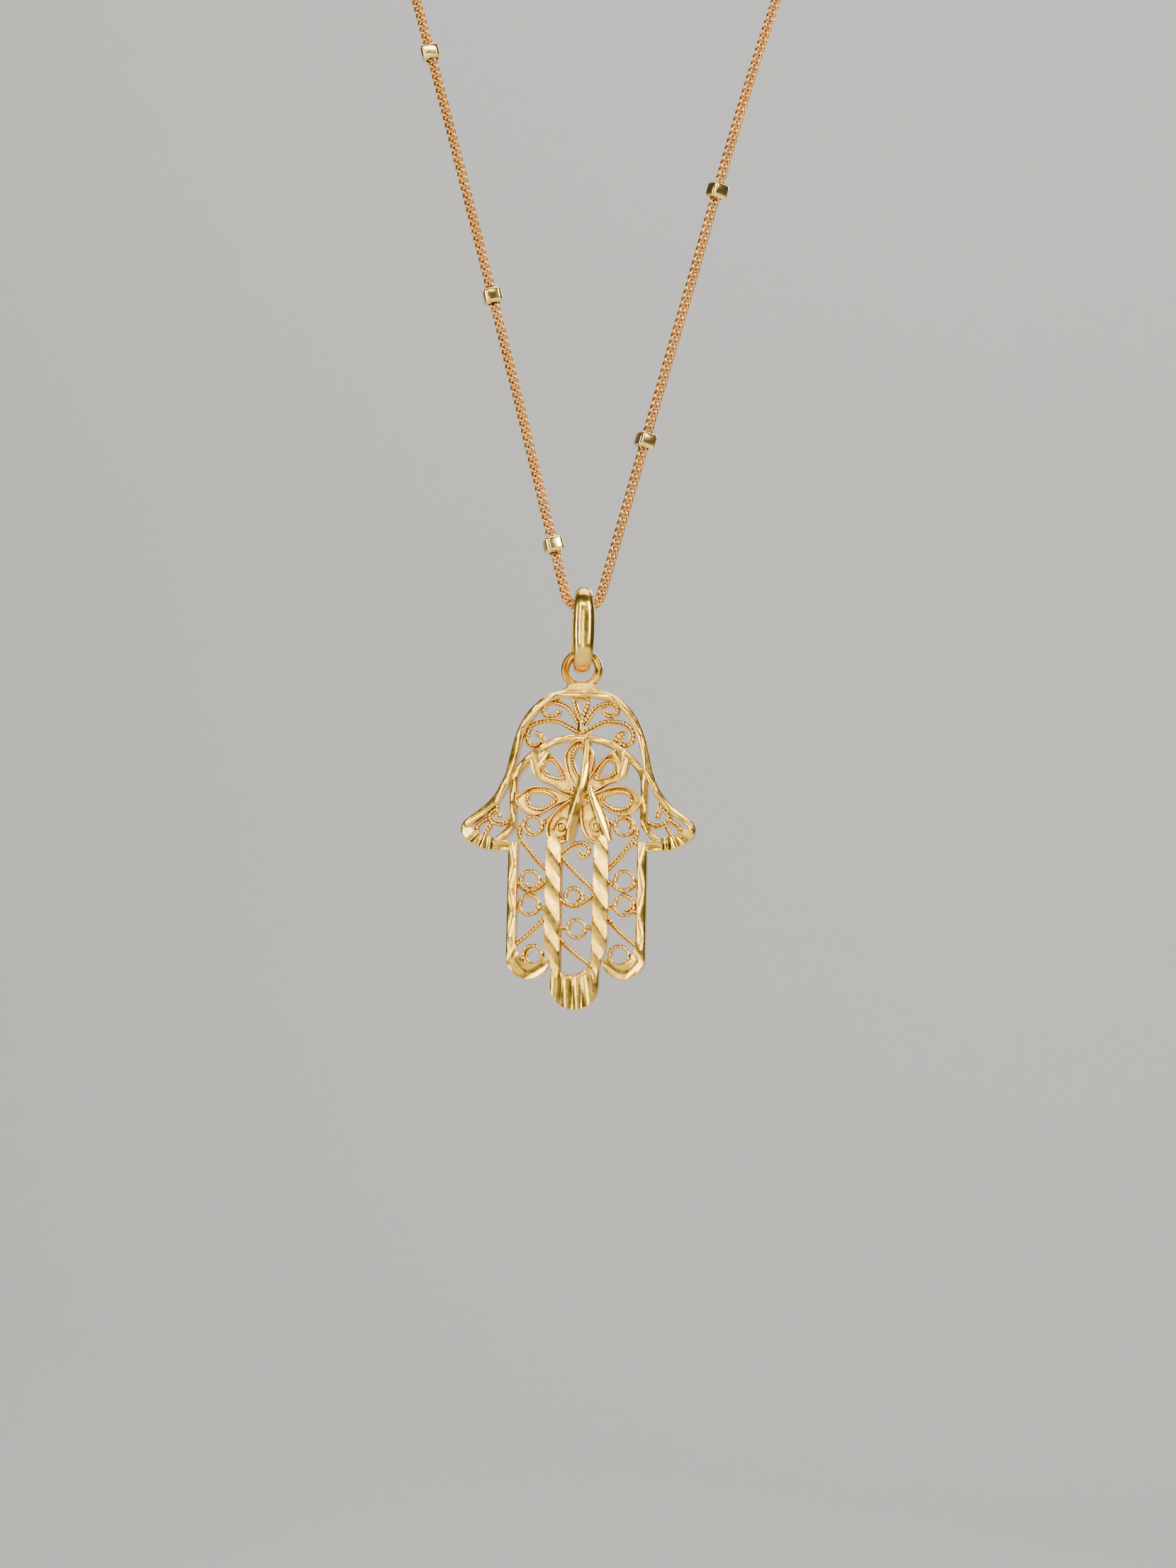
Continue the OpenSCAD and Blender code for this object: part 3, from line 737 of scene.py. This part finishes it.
def beside(points, reach):
    """The same line, moved sideways."""
    line = []
    for i, place in enumerate(points):
        ahead = points[min(i + 1, len(points) - 1)] - points[max(i - 1, 0)]
        line.append(place + Vector((ahead.y, -ahead.x, 0)).normalized() * reach)
    return line


VINE_W = 0.38
VINE_TOP = 0.24
FINE_W = 0.13
FINE_BESIDE = 0.24


def vine(points):
    """Scroll wire: a thin wall with a rope along its top and a fine plain wire beside the rope."""
    line = evenly(points, 0.16)
    return [
        sweep(line, round_top(VINE_W * 0.8, BACK, VINE_TOP)),
        rope(points, VINE_W, VINE_TOP),
        sweep(beside(line, FINE_BESIDE), round_top(FINE_W, BACK, VINE_TOP - 0.02, sides=4)),
    ]


# %% Petals
PETAL_FLOOR = 0.1
PETAL_WALL = 0.2
PETAL_TOP = 0.66
PETAL_STEP = 0.14
RIM_W = 0.4
RIM_TURN = 0.6
RIM_BACK = 0.16


def petal(outline, opening):
    """A petal: a plate, a smooth wall along its edge, and a roped rim round its opening."""
    edge = smooth(outline, closed=True, steps=5)
    hole = smooth(opening, closed=True, steps=5)
    centre = sum(edge, Vector()) / len(edge)
    inset = [p + (centre - p).normalized() * PETAL_WALL * 0.45 for p in edge]
    rim = [p + (p - centre).normalized() * RIM_BACK for p in hole]
    lip = round_top(0.12, BACK, PETAL_FLOOR + 0.12, sides=4)
    return [
        plate(edge, BACK, PETAL_FLOOR, 0, holes=[hole]),
        sweep(evenly(inset, PETAL_STEP, True), round_top(PETAL_WALL, BACK, PETAL_TOP), closed=True),
        rope(rim, RIM_W, PETAL_FLOOR + 0.2, closed=True, turn=RIM_TURN),
        sweep(evenly(hole, PETAL_STEP, True), lip, closed=True),
    ]


def two_sided(table):
    """A table of marks and then its mirror image, so that the two make one even outline."""
    return table + [(-x, y) for x, y in reversed(table) if x > 0]


top_petal = [(0, 4.7), (0.95, 5.3), (1.4, 6.3), (1.25, 7.5), (0.8, 8.6), (0.1, 9.6)]
top_opening = [(0, 5.35), (0.5, 5.9), (0.62, 6.5), (0.4, 7.3), (0, 8.1)]
slant_petal = [
    (0.5, 9.5), (1.1, 8), (1.9, 6.8), (2.8, 6), (3.9, 5.6), (4.65, 6.1), (4.55, 7.3), (4.35, 8),
    (3.6, 8.6), (2.6, 8.95), (1.2, 9.7),
]
slant_opening = [(2.45, 6.85), (3, 6.75), (3.35, 7.1), (3.25, 7.65), (2.6, 8.1), (1.8, 8.3), (1.7, 8.1)]
side_petal = [
    (0.8, 10.2), (1.8, 9.6), (3, 9.15), (4.3, 9.1), (5.3, 9.6), (6, 10.3), (5.6, 11.1), (4.9, 11.7),
    (4, 11.85), (3, 11.5), (2, 10.8),
]
side_opening = [
    (2.35, 10.3), (3, 9.85), (3.9, 9.75), (4.6, 9.9), (4.75, 10.5), (4.4, 10.95), (3.6, 11.1), (2.9, 10.8),
]
low_petal = [
    (0.4, 10.4), (1.5, 10.9), (2.4, 11.8), (2.85, 12.8), (2.8, 13.9), (2, 14.4), (1, 14.1), (0.4, 13),
    (0.25, 11.8),
]
low_ring = [(1.5, 12), (2.2, 12.7), (2.35, 13.4), (1.9, 13.85), (1.2, 13.6), (0.95, 12.7)]
CUP_WALL = 0.3
CUP_TOP = 0.62
CUP_RING = 0.14
CUP_RING_TOP = 0.34
flower_parts = petal(marks(two_sided(top_petal)), marks(two_sided(top_opening)))
for s in (1, -1):
    flower_parts += petal(marks(slant_petal, s), marks(slant_opening, s))
    flower_parts += petal(marks(side_petal, s), marks(side_opening, s))
    cup = smooth(marks(low_petal, s), closed=True, steps=5)
    flower_parts.append(plate(cup, BACK, 0.0, 0))
    cup_wall = round_top(CUP_WALL, BACK, CUP_TOP)
    flower_parts.append(sweep(evenly(cup, PETAL_STEP, True), cup_wall, closed=True))
    ring = evenly(smooth(marks(low_ring, s), closed=True), PETAL_STEP, True)
    flower_parts.append(sweep(ring, round_top(CUP_RING, BACK, CUP_RING_TOP, sides=4), closed=True))
print(len(flower_parts), "petal parts")

# %% Heart and granules of the flower
HEART_R = 1.05
HEART_TOP = 0.45
GRANULE_R = 0.42
heart = plate(arc(at(0, 10), HEART_R, 0, 342, 19), BACK, HEART_TOP, 0.2)
flower_parts.append(heart)
flower_parts += [granule(s * 1.65, -14.95, 0.28, GRANULE_R) for s in (1, -1)]
flower = joined(flower_parts, "hand_flower")
finished(flower, "hand_flower", "hamsa", wire_gold, bench_to_hand, angle=45)
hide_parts("hamsa")

# %% Cut bars of the flower and the bright tips of the slanting petals
long_bar = [(0.65, 4.6), (0.68, 7), (0.5, 8.4), (0.15, 9.7), (-0.25, 11), (-0.55, 12.8), (-0.85, 14.3)]
short_bar = [(0.9, 9.1), (1.35, 10.3), (1.92, 11.6), (2.45, 13), (2.75, 14.3)]
LONG_WIDTHS = (0.95, 0.9, 1.35, 1.3, 1.05)
SHORT_WIDTHS = (0.75, 1.2, 1.1)
CROSS_W = 0.85
CROSS_TOP = 0.84
cross_section = roof(CROSS_W, BACK * 0.8, CROSS_TOP, ridge=0.05, left=0.16, right=0.12)
cross_bars = []
for table, widths in ((long_bar, LONG_WIDTHS), (short_bar, SHORT_WIDTHS)):
    line = evenly(smooth(marks(table)), 0.2)
    strip = sweep(line, cross_section, widths=widths)
    cross_bars.append(carve(strip, cuts_along(
        line, first=1.6, gap=2.6, count=4, width=0.6, depth=0.14, slant=0.12, length=4.0, half=1,
    )))
petal_tip = [
    (2.7, 6.1), (3.9, 5.62), (4.62, 6.1), (4.56, 7.3), (4.3, 7.95), (3.9, 8.2), (3.5, 7.6), (3.5, 6.9),
    (3.1, 6.5),
]
for s in (1, -1):
    facet = plate(smooth(marks(petal_tip, s), closed=True, steps=4), BACK, FRONT + 0.02, 0.06)
    cross_bars.append(carve(facet, [
        bright_cut(s * 4.1, -9.4, 1.6, 0.16, -s * 0.25, 5, dip=0.06),
        bright_cut(s * 3.3, -8.3, 1.2, 0.14, s * 0.5, 4),
    ]))
flower_bars = joined(cross_bars, "hand_flower_bars")
finished(flower_bars, "hand_flower_bars", "hamsa", cut_gold, bench_to_hand)
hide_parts("hamsa")

# %% [markdown]
# ## Scrolls and rings
#
# The openings of the crown, thumbs and fingers are filled with scroll wire. The maker bends each
# scroll from one length, so each is one line of marks here. A ring is a plain wire with a rope round
# its top, and six of the ten hold a small curl that winds in from the rim.

# %% Scrolls
# The first table is for both halves of the hand, and the second for its middle.
both_vines = [
    [(0.3, 3.1), (0.65, 2.5), (1.2, 1.75), (1.9, 1.35), (2.75, 1.2), (3.4, 1.55), (3.45, 2.15),
     (2.95, 2.45), (2.3, 2.3), (2.15, 1.85)],
    [(0.3, 3.95), (1.2, 3.45), (2.2, 3), (3.2, 2.93), (4.2, 3.15), (4.75, 3.6), (4.98, 4.3),
     (4.8, 5), (4.25, 5.25), (3.7, 4.85), (3.75, 4.3), (4.2, 4.05)],
    [(4.2, 4.05), (3.65, 4.2), (3.25, 4.95)],
    [(5.1, 12.5), (5.55, 13.3), (5.2, 14.2), (4.5, 15.1), (3.8, 15.95), (2.8, 17)],
    [(5.2, 14.2), (5.95, 14.7)],
    [(2.6, 12.1), (3.5, 12.7)],
    [(5.7, 18), (5.1, 18.6), (4.4, 18.95), (3.6, 18.6), (2.9, 17.95)],
    [(2.8, 21.2), (4, 22.6), (5.8, 24.1)],
    [(3.75, 20.25), (2.8, 20.7)],
    [(5.12, 20.65), (5.8, 20.95)],
    [(6.4, 12.35), (7.2, 12.7), (7.9, 12.6), (8.4, 12.1), (8.35, 11.7), (7.85, 11.3), (7.5, 11.6),
     (7.45, 12.1)],
    [(7.7, 10.6), (7.75, 11.4)],
    [(8.4, 12.1), (9, 12.45), (9.5, 12.9), (9.5, 13.5), (9.2, 14.2)],
    [(8.15, 12.5), (8.45, 13.1), (8.75, 13.65), (9.05, 14.2)],
]
middle_vines = [
    [(-1.7, 15.5), (-0.9, 14.8), (0, 14.4), (0.75, 14.45), (1.05, 15), (0.85, 15.55), (0.4, 15.8),
     (0, 15.3)],
    [(-1.7, 15.5), (-0.3, 17), (1.6, 18.8)],
    [(-1.7, 19.6), (-0.7, 20.2), (0.3, 20.15), (1.6, 19.2)],
    [(-1.7, 22.3), (-0.7, 22.4)],
    [(0.7, 22.2), (1.7, 22.4)],
    [(-1.7, 23.2), (-0.3, 24.5), (1.5, 25.9)],
]
crown_petal = [(0, 0.55), (0.6, 0.8), (0.62, 1.4), (0.3, 2.2), (0, 2.8)]
scrolls = []
for s in (1, -1):
    for table in both_vines:
        scrolls += vine(smooth(marks(table, s)))
for table in middle_vines:
    scrolls += vine(smooth(marks(table)))
scrolls += vine(smooth(marks(two_sided(crown_petal) + [(0, 0.55)])))
crown_foot = [(-0.25, 2.5), (0.25, 2.5), (0.5, 4.4), (-0.5, 4.4)]
scrolls.append(plate(marks(crown_foot), BACK, 0.3, 0.1))
scroll_piece = joined(scrolls, "hand_scrolls")
finished(scroll_piece, "hand_scrolls", "hamsa", wire_gold, bench_to_hand, angle=60)
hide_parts("hamsa")

# %% Rings
RING_R = 1.05
RING_W = 0.34
RING_TOP = 0.3
RING_ROPE_W = 0.38
RING_ROPE_TURN = 0.9
CURL_W = 0.2
CURL_TOP = 0.14
CURL_SWEEP = 230
CURL_IN = 0.55
CURL_STEPS = 24
# Each ring has its column and row, its share of the usual radius, and the angle where its curl starts.
ring_marks = [
    (-4.3, 12.8, 1, 20), (4.3, 12.8, 1, 200), (-4.42, 17.95, 1, 60), (4.42, 17.95, 1, None),
    (-4.45, 20.25, 1.02, None), (4.45, 20.25, 1.02, 130), (-4.05, 24.95, 1.02, 330),
    (4.05, 24.95, 1.02, None), (-0.3, 19.45, 0.95, 170), (0, 22.45, 0.95, None),
]
rings = []
for column, row, share, curl_from in ring_marks:
    centre = at(column, row)
    radius = RING_R * share - RING_W / 2
    circle = arc(centre, radius, 0, 350, 35)
    rings.append(sweep(circle, round_top(RING_W, BACK, RING_TOP), closed=True))
    rings.append(rope(circle, RING_ROPE_W, RING_TOP, closed=True, turn=RING_ROPE_TURN))
    if curl_from is not None:
        curl = arc(centre, radius, curl_from, curl_from - CURL_SWEEP, CURL_STEPS)
        curl = [centre + (place - centre) * (1 - CURL_IN * i / CURL_STEPS) for i, place in enumerate(curl)]
        rings.append(sweep(curl, round_top(CURL_W, BACK, CURL_TOP, sides=4)))
ring_piece = joined(rings, "hand_rings")
finished(ring_piece, "hand_rings", "hamsa", wire_gold, bench_to_hand, angle=50)
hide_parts("hamsa")

# %% Loop and neck plate
LOOP_R = 1.2
LOOP_WIRE = 0.75
loop_line = arc(Vector((0, 0, 0)), LOOP_R + LOOP_WIRE / 2, 0, 355, 71)
loop_section = [
    (0.375, -0.3), (0.375, 0.12), (0.3, 0.3), (0.18, 0.37), (0.06, 0.3), (-0.02, 0.24), (-0.12, 0.3),
    (-0.22, 0.4), (-0.33, 0.34), (-0.375, 0.15), (-0.375, -0.3), (-0.2, -0.4), (0.2, -0.4),
]
loop = sweep(loop_line, loop_section, closed=True)
finished(loop, "hand_loop", "hamsa", cut_gold, bench_to_hand, angle=50)
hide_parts("hamsa")
NECK_LOW = -0.45
NECK_HIGH = 0.5
neck_outline = [
    (-1.25, -1.42), (-0.7, -1.25), (0, -1.2), (0.7, -1.25), (1.25, -1.42), (1.4, -1.75), (2.0, -2.05),
    (1.6, -2.35), (0, -2.25), (-1.6, -2.35), (-2.0, -2.05), (-1.4, -1.75),
]
neck = plate(flat(neck_outline), NECK_LOW, NECK_HIGH, 0.12)
finished(neck, "hand_neck", "hamsa", stipple_gold, bench_to_hand)
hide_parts("hamsa")

# %% [markdown]
# ## The bail
#
# The bail is an oval ring of crowned band with a groove round its inside. Its path is drawn flat on
# the bench, a straight stretch on each side and a half circle at each end, and the crowned section is
# swept round it. The band is widest half way up, so it is then drawn in towards the two ends, strip
# by strip.

# %% Path and section of the bail
bail_low, bail_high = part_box("bail")
BAIL_H = (bail_high.z - bail_low.z) / MM
BAIL_D = 5.2
BAIL_W = 2.0
BAIL_END_W = 1.4
BAIL_T = 1.05
BAIL_TURN = 10
half_straight = (BAIL_H - BAIL_D) / 2
inner_r = BAIL_D / 2 - BAIL_T
oval = (
    evenly(flat([(inner_r, -half_straight), (inner_r, half_straight)]), 0.2)[:-1]
    + arc(Vector((0, half_straight, 0)), inner_r, 0, 180, 40)[:-1]
    + evenly(flat([(-inner_r, half_straight), (-inner_r, -half_straight)]), 0.2)[:-1]
    + arc(Vector((0, -half_straight, 0)), inner_r, 180, 360, 40)[:-1]
)
bail_section = [
    (0.0, -0.97), (0.2, -1.0), (0.55, -0.99), (0.72, -0.92), (0.9, -0.72), (0.97, -0.6), (1.02, -0.4),
    (1.05, -0.1), (1.05, 0.1), (1.02, 0.4), (0.97, 0.6), (0.9, 0.72), (0.72, 0.92), (0.55, 0.99), (0.2, 1.0),
    (0.0, 0.97), (0.0, 0.8), (0.12, 0.72), (0.3, 0.6), (0.36, 0.3), (0.38, 0), (0.36, -0.3), (0.3, -0.6),
    (0.12, -0.72), (0.0, -0.8),
]
bail = sweep(oval, bail_section, closed=True)

# %% Drawing the band in towards its ends
sag = (BAIL_W - BAIL_END_W) / 2
side_r = (BAIL_H ** 2 / 4 + sag ** 2) / (2 * sag)
STRIPS = 80
for i in range(STRIPS):
    low = -BAIL_H / 2 + BAIL_H * i / STRIPS
    high = low + BAIL_H / STRIPS
    middle = (low + high) / 2
    share = (BAIL_W / 2 - side_r + math.sqrt(side_r ** 2 - middle ** 2)) / (BAIL_W / 2)
    picked(bail, lambda place: low <= place.y < high)
    bpy.ops.transform.resize(value=(1, 1, share), center_override=(0, 0, 0))
    bpy.ops.object.mode_set(mode="OBJECT")
bench_to_bail = (
    Matrix.Translation((0, loop_at.y, (bail_low.z + bail_high.z) / 2))
    @ Matrix.Rotation(math.radians(BAIL_TURN), 4, "Z")
    @ Matrix.Scale(MM, 4)
    @ Matrix(((0, 0, 1, 0), (1, 0, 0, 0), (0, 1, 0, 0), (0, 0, 0, 1)))
)
finished(bail, "bail_band", "bail", bail_gold, bench_to_bail, angle=40)
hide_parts("bail")

# %% [markdown]
# ## The chain
#
# A curb chain is made of oval links that are each given a quarter twist, so that the chain lies
# flat. One link is modelled once: a wire swept along an oval whose ends tip opposite ways. Copies are
# then set along the route, each turned to the route's own direction.

# %% Route of the chain
STRAND_LEAN = 15
BEND_R = 1.744
BEND_STEPS = 4
bend_middle = Vector((0, loop_at.y / MM, joints["bail_swing"]["pos_m"][2] / MM + BEND_R))
bend_turn = math.radians(90 - STRAND_LEAN)
neck_points = [
    (9, -50, -81), (17, -50, -52), (30, -44, -10), (46, -26, 11), (54, 0, 21), (46, 26, 27), (25, 44, 30),
    (0, 50, 31),
]
bend_angles = [bend_turn * i / BEND_STEPS for i in range(BEND_STEPS + 1)]
bend = [bend_middle + BEND_R * Vector((math.sin(angle), 0, -math.cos(angle))) for angle in bend_angles]
right_strand = smooth([bend[-1]] + [Vector(p) for p in neck_points], steps=10)
half_route = bend[:-1] + right_strand
left_route = [Vector((-p.x, p.y, p.z)) for p in half_route[-2::-1]]
route = half_route + left_route
reach = [0.0]
for a, b in zip(route, route[1:]):
    reach.append(reach[-1] + (b - a).length)
CHAIN_L = reach[-1]
print("chain", round(CHAIN_L, 1), "mm long")


def along(s):
    """The route's place at a distance along it, in millimetres."""
    s = s % CHAIN_L
    k = min(max(0, bisect.bisect_right(reach, s) - 1), len(route) - 2)
    return route[k].lerp(route[k + 1], (s - reach[k]) / (reach[k + 1] - reach[k]))


def on_chain(s0, s1):
    """The placing of a piece between two places of the chain: its Z along it, its X away from the neck."""
    p = along(s0)
    q = along(s1)
    ahead = (q - p).normalized()
    out = Vector((p.x + q.x, p.y + q.y, 0)).normalized()
    out = (out - out.dot(ahead) * ahead).normalized()
    across = ahead.cross(out)
    turned = Matrix((out, across, ahead)).transposed().to_4x4()
    return Matrix.Scale(MM, 4) @ Matrix.Translation((p + q) / 2) @ turned


def copied(master, places, name):
    """Copies of one piece, each with its own mesh, set in their places."""
    pieces = []
    for place in places:
        twin = master.copy()
        twin.data = master.data.copy()
        bpy.context.collection.objects.link(twin)
        twin.matrix_world = place
        pieces.append(twin)
    bpy.data.objects.remove(master)
    only(*pieces)
    bpy.ops.object.transform_apply(location=True, rotation=True, scale=True)
    print(name, len(pieces), "copies")
    return pieces


# %% One link and its copies
LINK_HALF = 0.55
LINK_SIDE = 0.34
LINK_TWIST = 0.15
LINK_WIRE = 0.145
LINK_PITCH = 0.72
LINK_HOLD = 0.3
LINK_STEPS = 14
WIRE_SIDES = 5
link_angles = [math.tau * i / LINK_STEPS for i in range(LINK_STEPS)]
link_line = [
    Vector((LINK_TWIST * math.sin(2 * angle), LINK_SIDE * math.sin(angle), LINK_HALF * math.cos(angle)))
    for angle in link_angles
]
wire_angles = [math.tau * i / WIRE_SIDES for i in range(WIRE_SIDES)]
round_wire = [(LINK_WIRE * math.cos(angle), LINK_WIRE * math.sin(angle)) for angle in wire_angles]
link = sweep(link_line, round_wire, closed=True)
only(link)
bpy.ops.object.shade_smooth_by_angle(angle=math.radians(80))
link_count = round(CHAIN_L / LINK_PITCH)
pitch = CHAIN_L / link_count
link_places = [on_chain(i * pitch - LINK_HOLD, i * pitch + LINK_HOLD) for i in range(link_count)]
links = copied(link, link_places, "links")
chain = joined(links, "chain_links")
finished(chain, "chain_links", "necklace", chain_gold, Matrix(), angle=80)
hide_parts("chain")

# %% [markdown]
# ## Beads and clasp
#
# The beads are small cubes whose edges are cut away, so they flash like stones, and each is turned a
# little about the chain. The clasp is a plain barrel: its profile is drawn once and spun round.

# %% Beads
BEAD_COUNT = sum(1 for name in frame["nodes"] if name.startswith("bead_"))
BEAD_W = 1.7
BEAD_L = 1.5
BEAD_CUT = 0.36
BEAD_ROUND = 0.1
BEAD_TURN = math.radians(25)
FIRST_BEAD = 7.3
BORE_R = 0.58
BORE_GAP = 0.1
bead_pitch = CHAIN_L / BEAD_COUNT
bead_hold = bead_pitch / 6
deselect()
bpy.ops.mesh.primitive_cube_add(size=1)
bead = bpy.context.object
bpy.ops.object.mode_set(mode="EDIT")
bpy.ops.mesh.select_all(action="SELECT")
bpy.ops.transform.resize(value=(BEAD_W, BEAD_W, BEAD_L))
bpy.ops.mesh.bevel(offset=BEAD_CUT / math.sqrt(2), segments=1, affect="EDGES")
bpy.ops.mesh.select_all(action="SELECT")
bpy.ops.mesh.bevel(offset=BEAD_ROUND, segments=3, affect="EDGES")
bpy.ops.object.mode_set(mode="OBJECT")
deselect()
bpy.ops.mesh.primitive_cylinder_add(vertices=32, radius=BORE_R, depth=2 * BEAD_L)
bead = carve(bead, [bpy.context.object])


def bead_at(i):
    """How far along the chain a bead stands."""
    return bead_pitch * i - FIRST_BEAD


bead_places = [
    on_chain(bead_at(i) - bead_hold, bead_at(i) + bead_hold)
    @ Matrix.Rotation(-BEAD_TURN if i > BEAD_COUNT / 2 else BEAD_TURN, 4, "Z")
    for i in range(1, BEAD_COUNT + 1)
]
for i, piece in enumerate(copied(bead, bead_places, "beads"), 1):
    finished(piece, f"cut_bead_{i:02d}", "necklace", bead_gold, Matrix(), angle=20)
    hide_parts(f"bead_{i:02d}")

# %% Clasp
CLASP_L = 9.0
# Half of the barrel's profile: its radius and how far that is from its middle.
half_barrel = [
    (1.5, 1.9), (1.4, 2.0), (1.4, 2.1), (1.5, 2.2), (1.5, 2.9), (1.44, 3.1), (1.06, 4.1), (1.02, 4.4),
    (0.95, CLASP_L / 2), (BORE_R, CLASP_L / 2),
]
barrel = [(radius, -z) for radius, z in reversed(half_barrel)] + half_barrel
clasp = drawn([Vector((radius, 0, z)) for radius, z in barrel], closed=True, name="clasp")
bpy.ops.object.mode_set(mode="EDIT")
bpy.ops.mesh.select_all(action="SELECT")
bpy.ops.mesh.spin(steps=48, angle=math.tau, center=(0, 0, 0), axis=(0, 0, 1))
bpy.ops.object.mode_set(mode="OBJECT")
clasp = clean(clasp)
clasp_at = bead_at(math.ceil(BEAD_COUNT / 2)) + bead_pitch / 2
clasp_hold = CLASP_L / 2 + BORE_GAP
clasp_place = on_chain(clasp_at - clasp_hold, clasp_at + clasp_hold)
finished(clasp, "turned_clasp", "necklace", bail_gold, clasp_place, angle=25)
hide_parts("clasp")

# %% [markdown]
# ## Stage, light and camera
#
# Gold shows what stands round it. A soft light at the upper right gives the long bright streaks, and
# a weaker one at the left fills the other side. Two narrow ones and a high one behind the camera lift
# the fronts, and two lights above and behind edge the chain. The last one faces the backdrop.
# The room stays dark, so that each cut has a bright and a dark part.

# %% Floor and backdrop
FLOOR_Z = -0.26
FLOOR_SIZE = (4, 3, 1)
FLOOR_FORWARD = -0.6
FAR_EDGE = 0.9
CURVE_R = 0.5
WALL_H = 2
PAPER_DARK = (0.70, 0.69, 0.67, 1)
PAPER_LIGHT = (0.76, 0.75, 0.73, 1)
deselect()
bpy.ops.mesh.primitive_plane_add(size=1)
floor = bpy.context.object
floor.name = "floor"
bpy.ops.object.mode_set(mode="EDIT")
bpy.ops.transform.resize(value=FLOOR_SIZE)
bpy.ops.transform.translate(value=(0, FLOOR_FORWARD, FLOOR_Z))
bpy.ops.object.mode_set(mode="OBJECT")
picked(floor, lambda place: place.y > 0)
bpy.ops.mesh.select_mode(type="EDGE")
bpy.ops.mesh.spin(steps=16, angle=-math.pi / 2, center=(0, FAR_EDGE, FLOOR_Z + CURVE_R), axis=(1, 0, 0))
bpy.ops.mesh.extrude_edges_move(TRANSFORM_OT_translate={"value": (0, 0, WALL_H)})
bpy.ops.object.mode_set(mode="OBJECT")
only(floor)
bpy.ops.object.shade_smooth()
paper = bpy.data.materials.new("paper")
paper.use_nodes = True
matt = paper.node_tree.nodes["Principled BSDF"]
grain = paper.node_tree.nodes.new("ShaderNodeTexNoise")
grain.inputs["Scale"].default_value = 3
ramp = paper.node_tree.nodes.new("ShaderNodeMix")
ramp.data_type = "RGBA"
ramp.inputs["A"].default_value = PAPER_DARK
ramp.inputs["B"].default_value = PAPER_LIGHT
paper.node_tree.links.new(grain.outputs["Fac"], ramp.inputs["Factor"])
paper.node_tree.links.new(ramp.outputs["Result"], matt.inputs["Base Color"])
matt.inputs["Roughness"].default_value = 0.9
floor.data.materials.append(paper)
print("floor and backdrop", len(floor.data.polygons), "faces")

# %% Lights
def softbox(name, place, size, power, colour, target=None):
    """A rectangular soft light, its place and size in metres, that faces the hand or another target."""
    deselect()
    bpy.ops.object.light_add(type="AREA", location=place)
    lamp = bpy.context.object
    lamp.name = name
    lamp.data.shape = "RECTANGLE"
    lamp.data.size, lamp.data.size_y = size
    lamp.data.energy = power
    lamp.data.color = colour
    facing = (target or hand_middle) - Vector(place)
    lamp.rotation_euler = facing.to_track_quat("-Z", "Y").to_euler()


hand_middle = (hand_low + hand_high) / 2
backdrop_middle = Vector((0.0, 1.4, 0.1))
# Each light has its name, place, size, power in watts and colour.
softbox("key", (0.42, -0.45, 0.18), (0.16, 0.4), 5.0, (1.0, 0.98, 0.95))
softbox("front", (-0.18, -0.85, 0.1), (0.1, 0.4), 2.1, (1.0, 0.98, 0.94))
softbox("near", (0.1, -0.9, -0.1), (0.06, 0.3), 1.0, (1.0, 0.98, 0.94))
softbox("fill", (-0.55, -0.35, -0.05), (0.16, 0.5), 3.4, (1.0, 0.95, 0.88))
softbox("high", (-0.03, -0.66, 0.33), (0.5, 0.1), 2.2, (1.0, 0.98, 0.94))
softbox("top", (0.0, 0.1, 0.5), (0.6, 0.4), 2.6, (1.0, 1.0, 1.0))
softbox("back", (0.3, 0.75, 0.25), (0.4, 0.3), 3, (1.0, 0.97, 0.92))
softbox("wall", (0.0, 0.55, 0.9), (1.4, 0.4), 9, (1.0, 0.99, 0.97), target=backdrop_middle)
room = bpy.data.worlds.new("room")
bpy.context.scene.world = room
room.use_nodes = True
around = room.node_tree.nodes["Background"]
around.inputs["Color"].default_value = (0.85, 0.8, 0.75, 1)
around.inputs["Strength"].default_value = 0.1

# %% Camera
AZIMUTH = math.radians(7)
ELEVATION = math.radians(-8)
ROLL = math.radians(1.2)
DISTANCE = 0.407
LENS = 100
SENSOR_H = 36
AIM_RIGHT = 0.0008
AIM_DOWN = 0.01083
aim = Vector((loop_at.x + AIM_RIGHT, loop_at.y, loop_at.z - AIM_DOWN))
back = Vector((
    math.sin(AZIMUTH) * math.cos(ELEVATION), -math.cos(AZIMUTH) * math.cos(ELEVATION), math.sin(ELEVATION)
))
deselect()
bpy.ops.object.camera_add()
camera = bpy.context.object
camera.data.sensor_fit = "VERTICAL"
camera.data.sensor_height = SENSOR_H
camera.data.lens = LENS
camera.data.clip_start = 0.01
camera.data.clip_end = 20
camera.matrix_world = (
    Matrix.Translation(aim + back * DISTANCE)
    @ (-back).to_track_quat("-Z", "Y").to_matrix().to_4x4()
    @ Matrix.Rotation(ROLL, 4, "Z")
)
bpy.context.scene.camera = camera
print("camera", DISTANCE, "m from its aim, with a lens of", LENS, "mm")
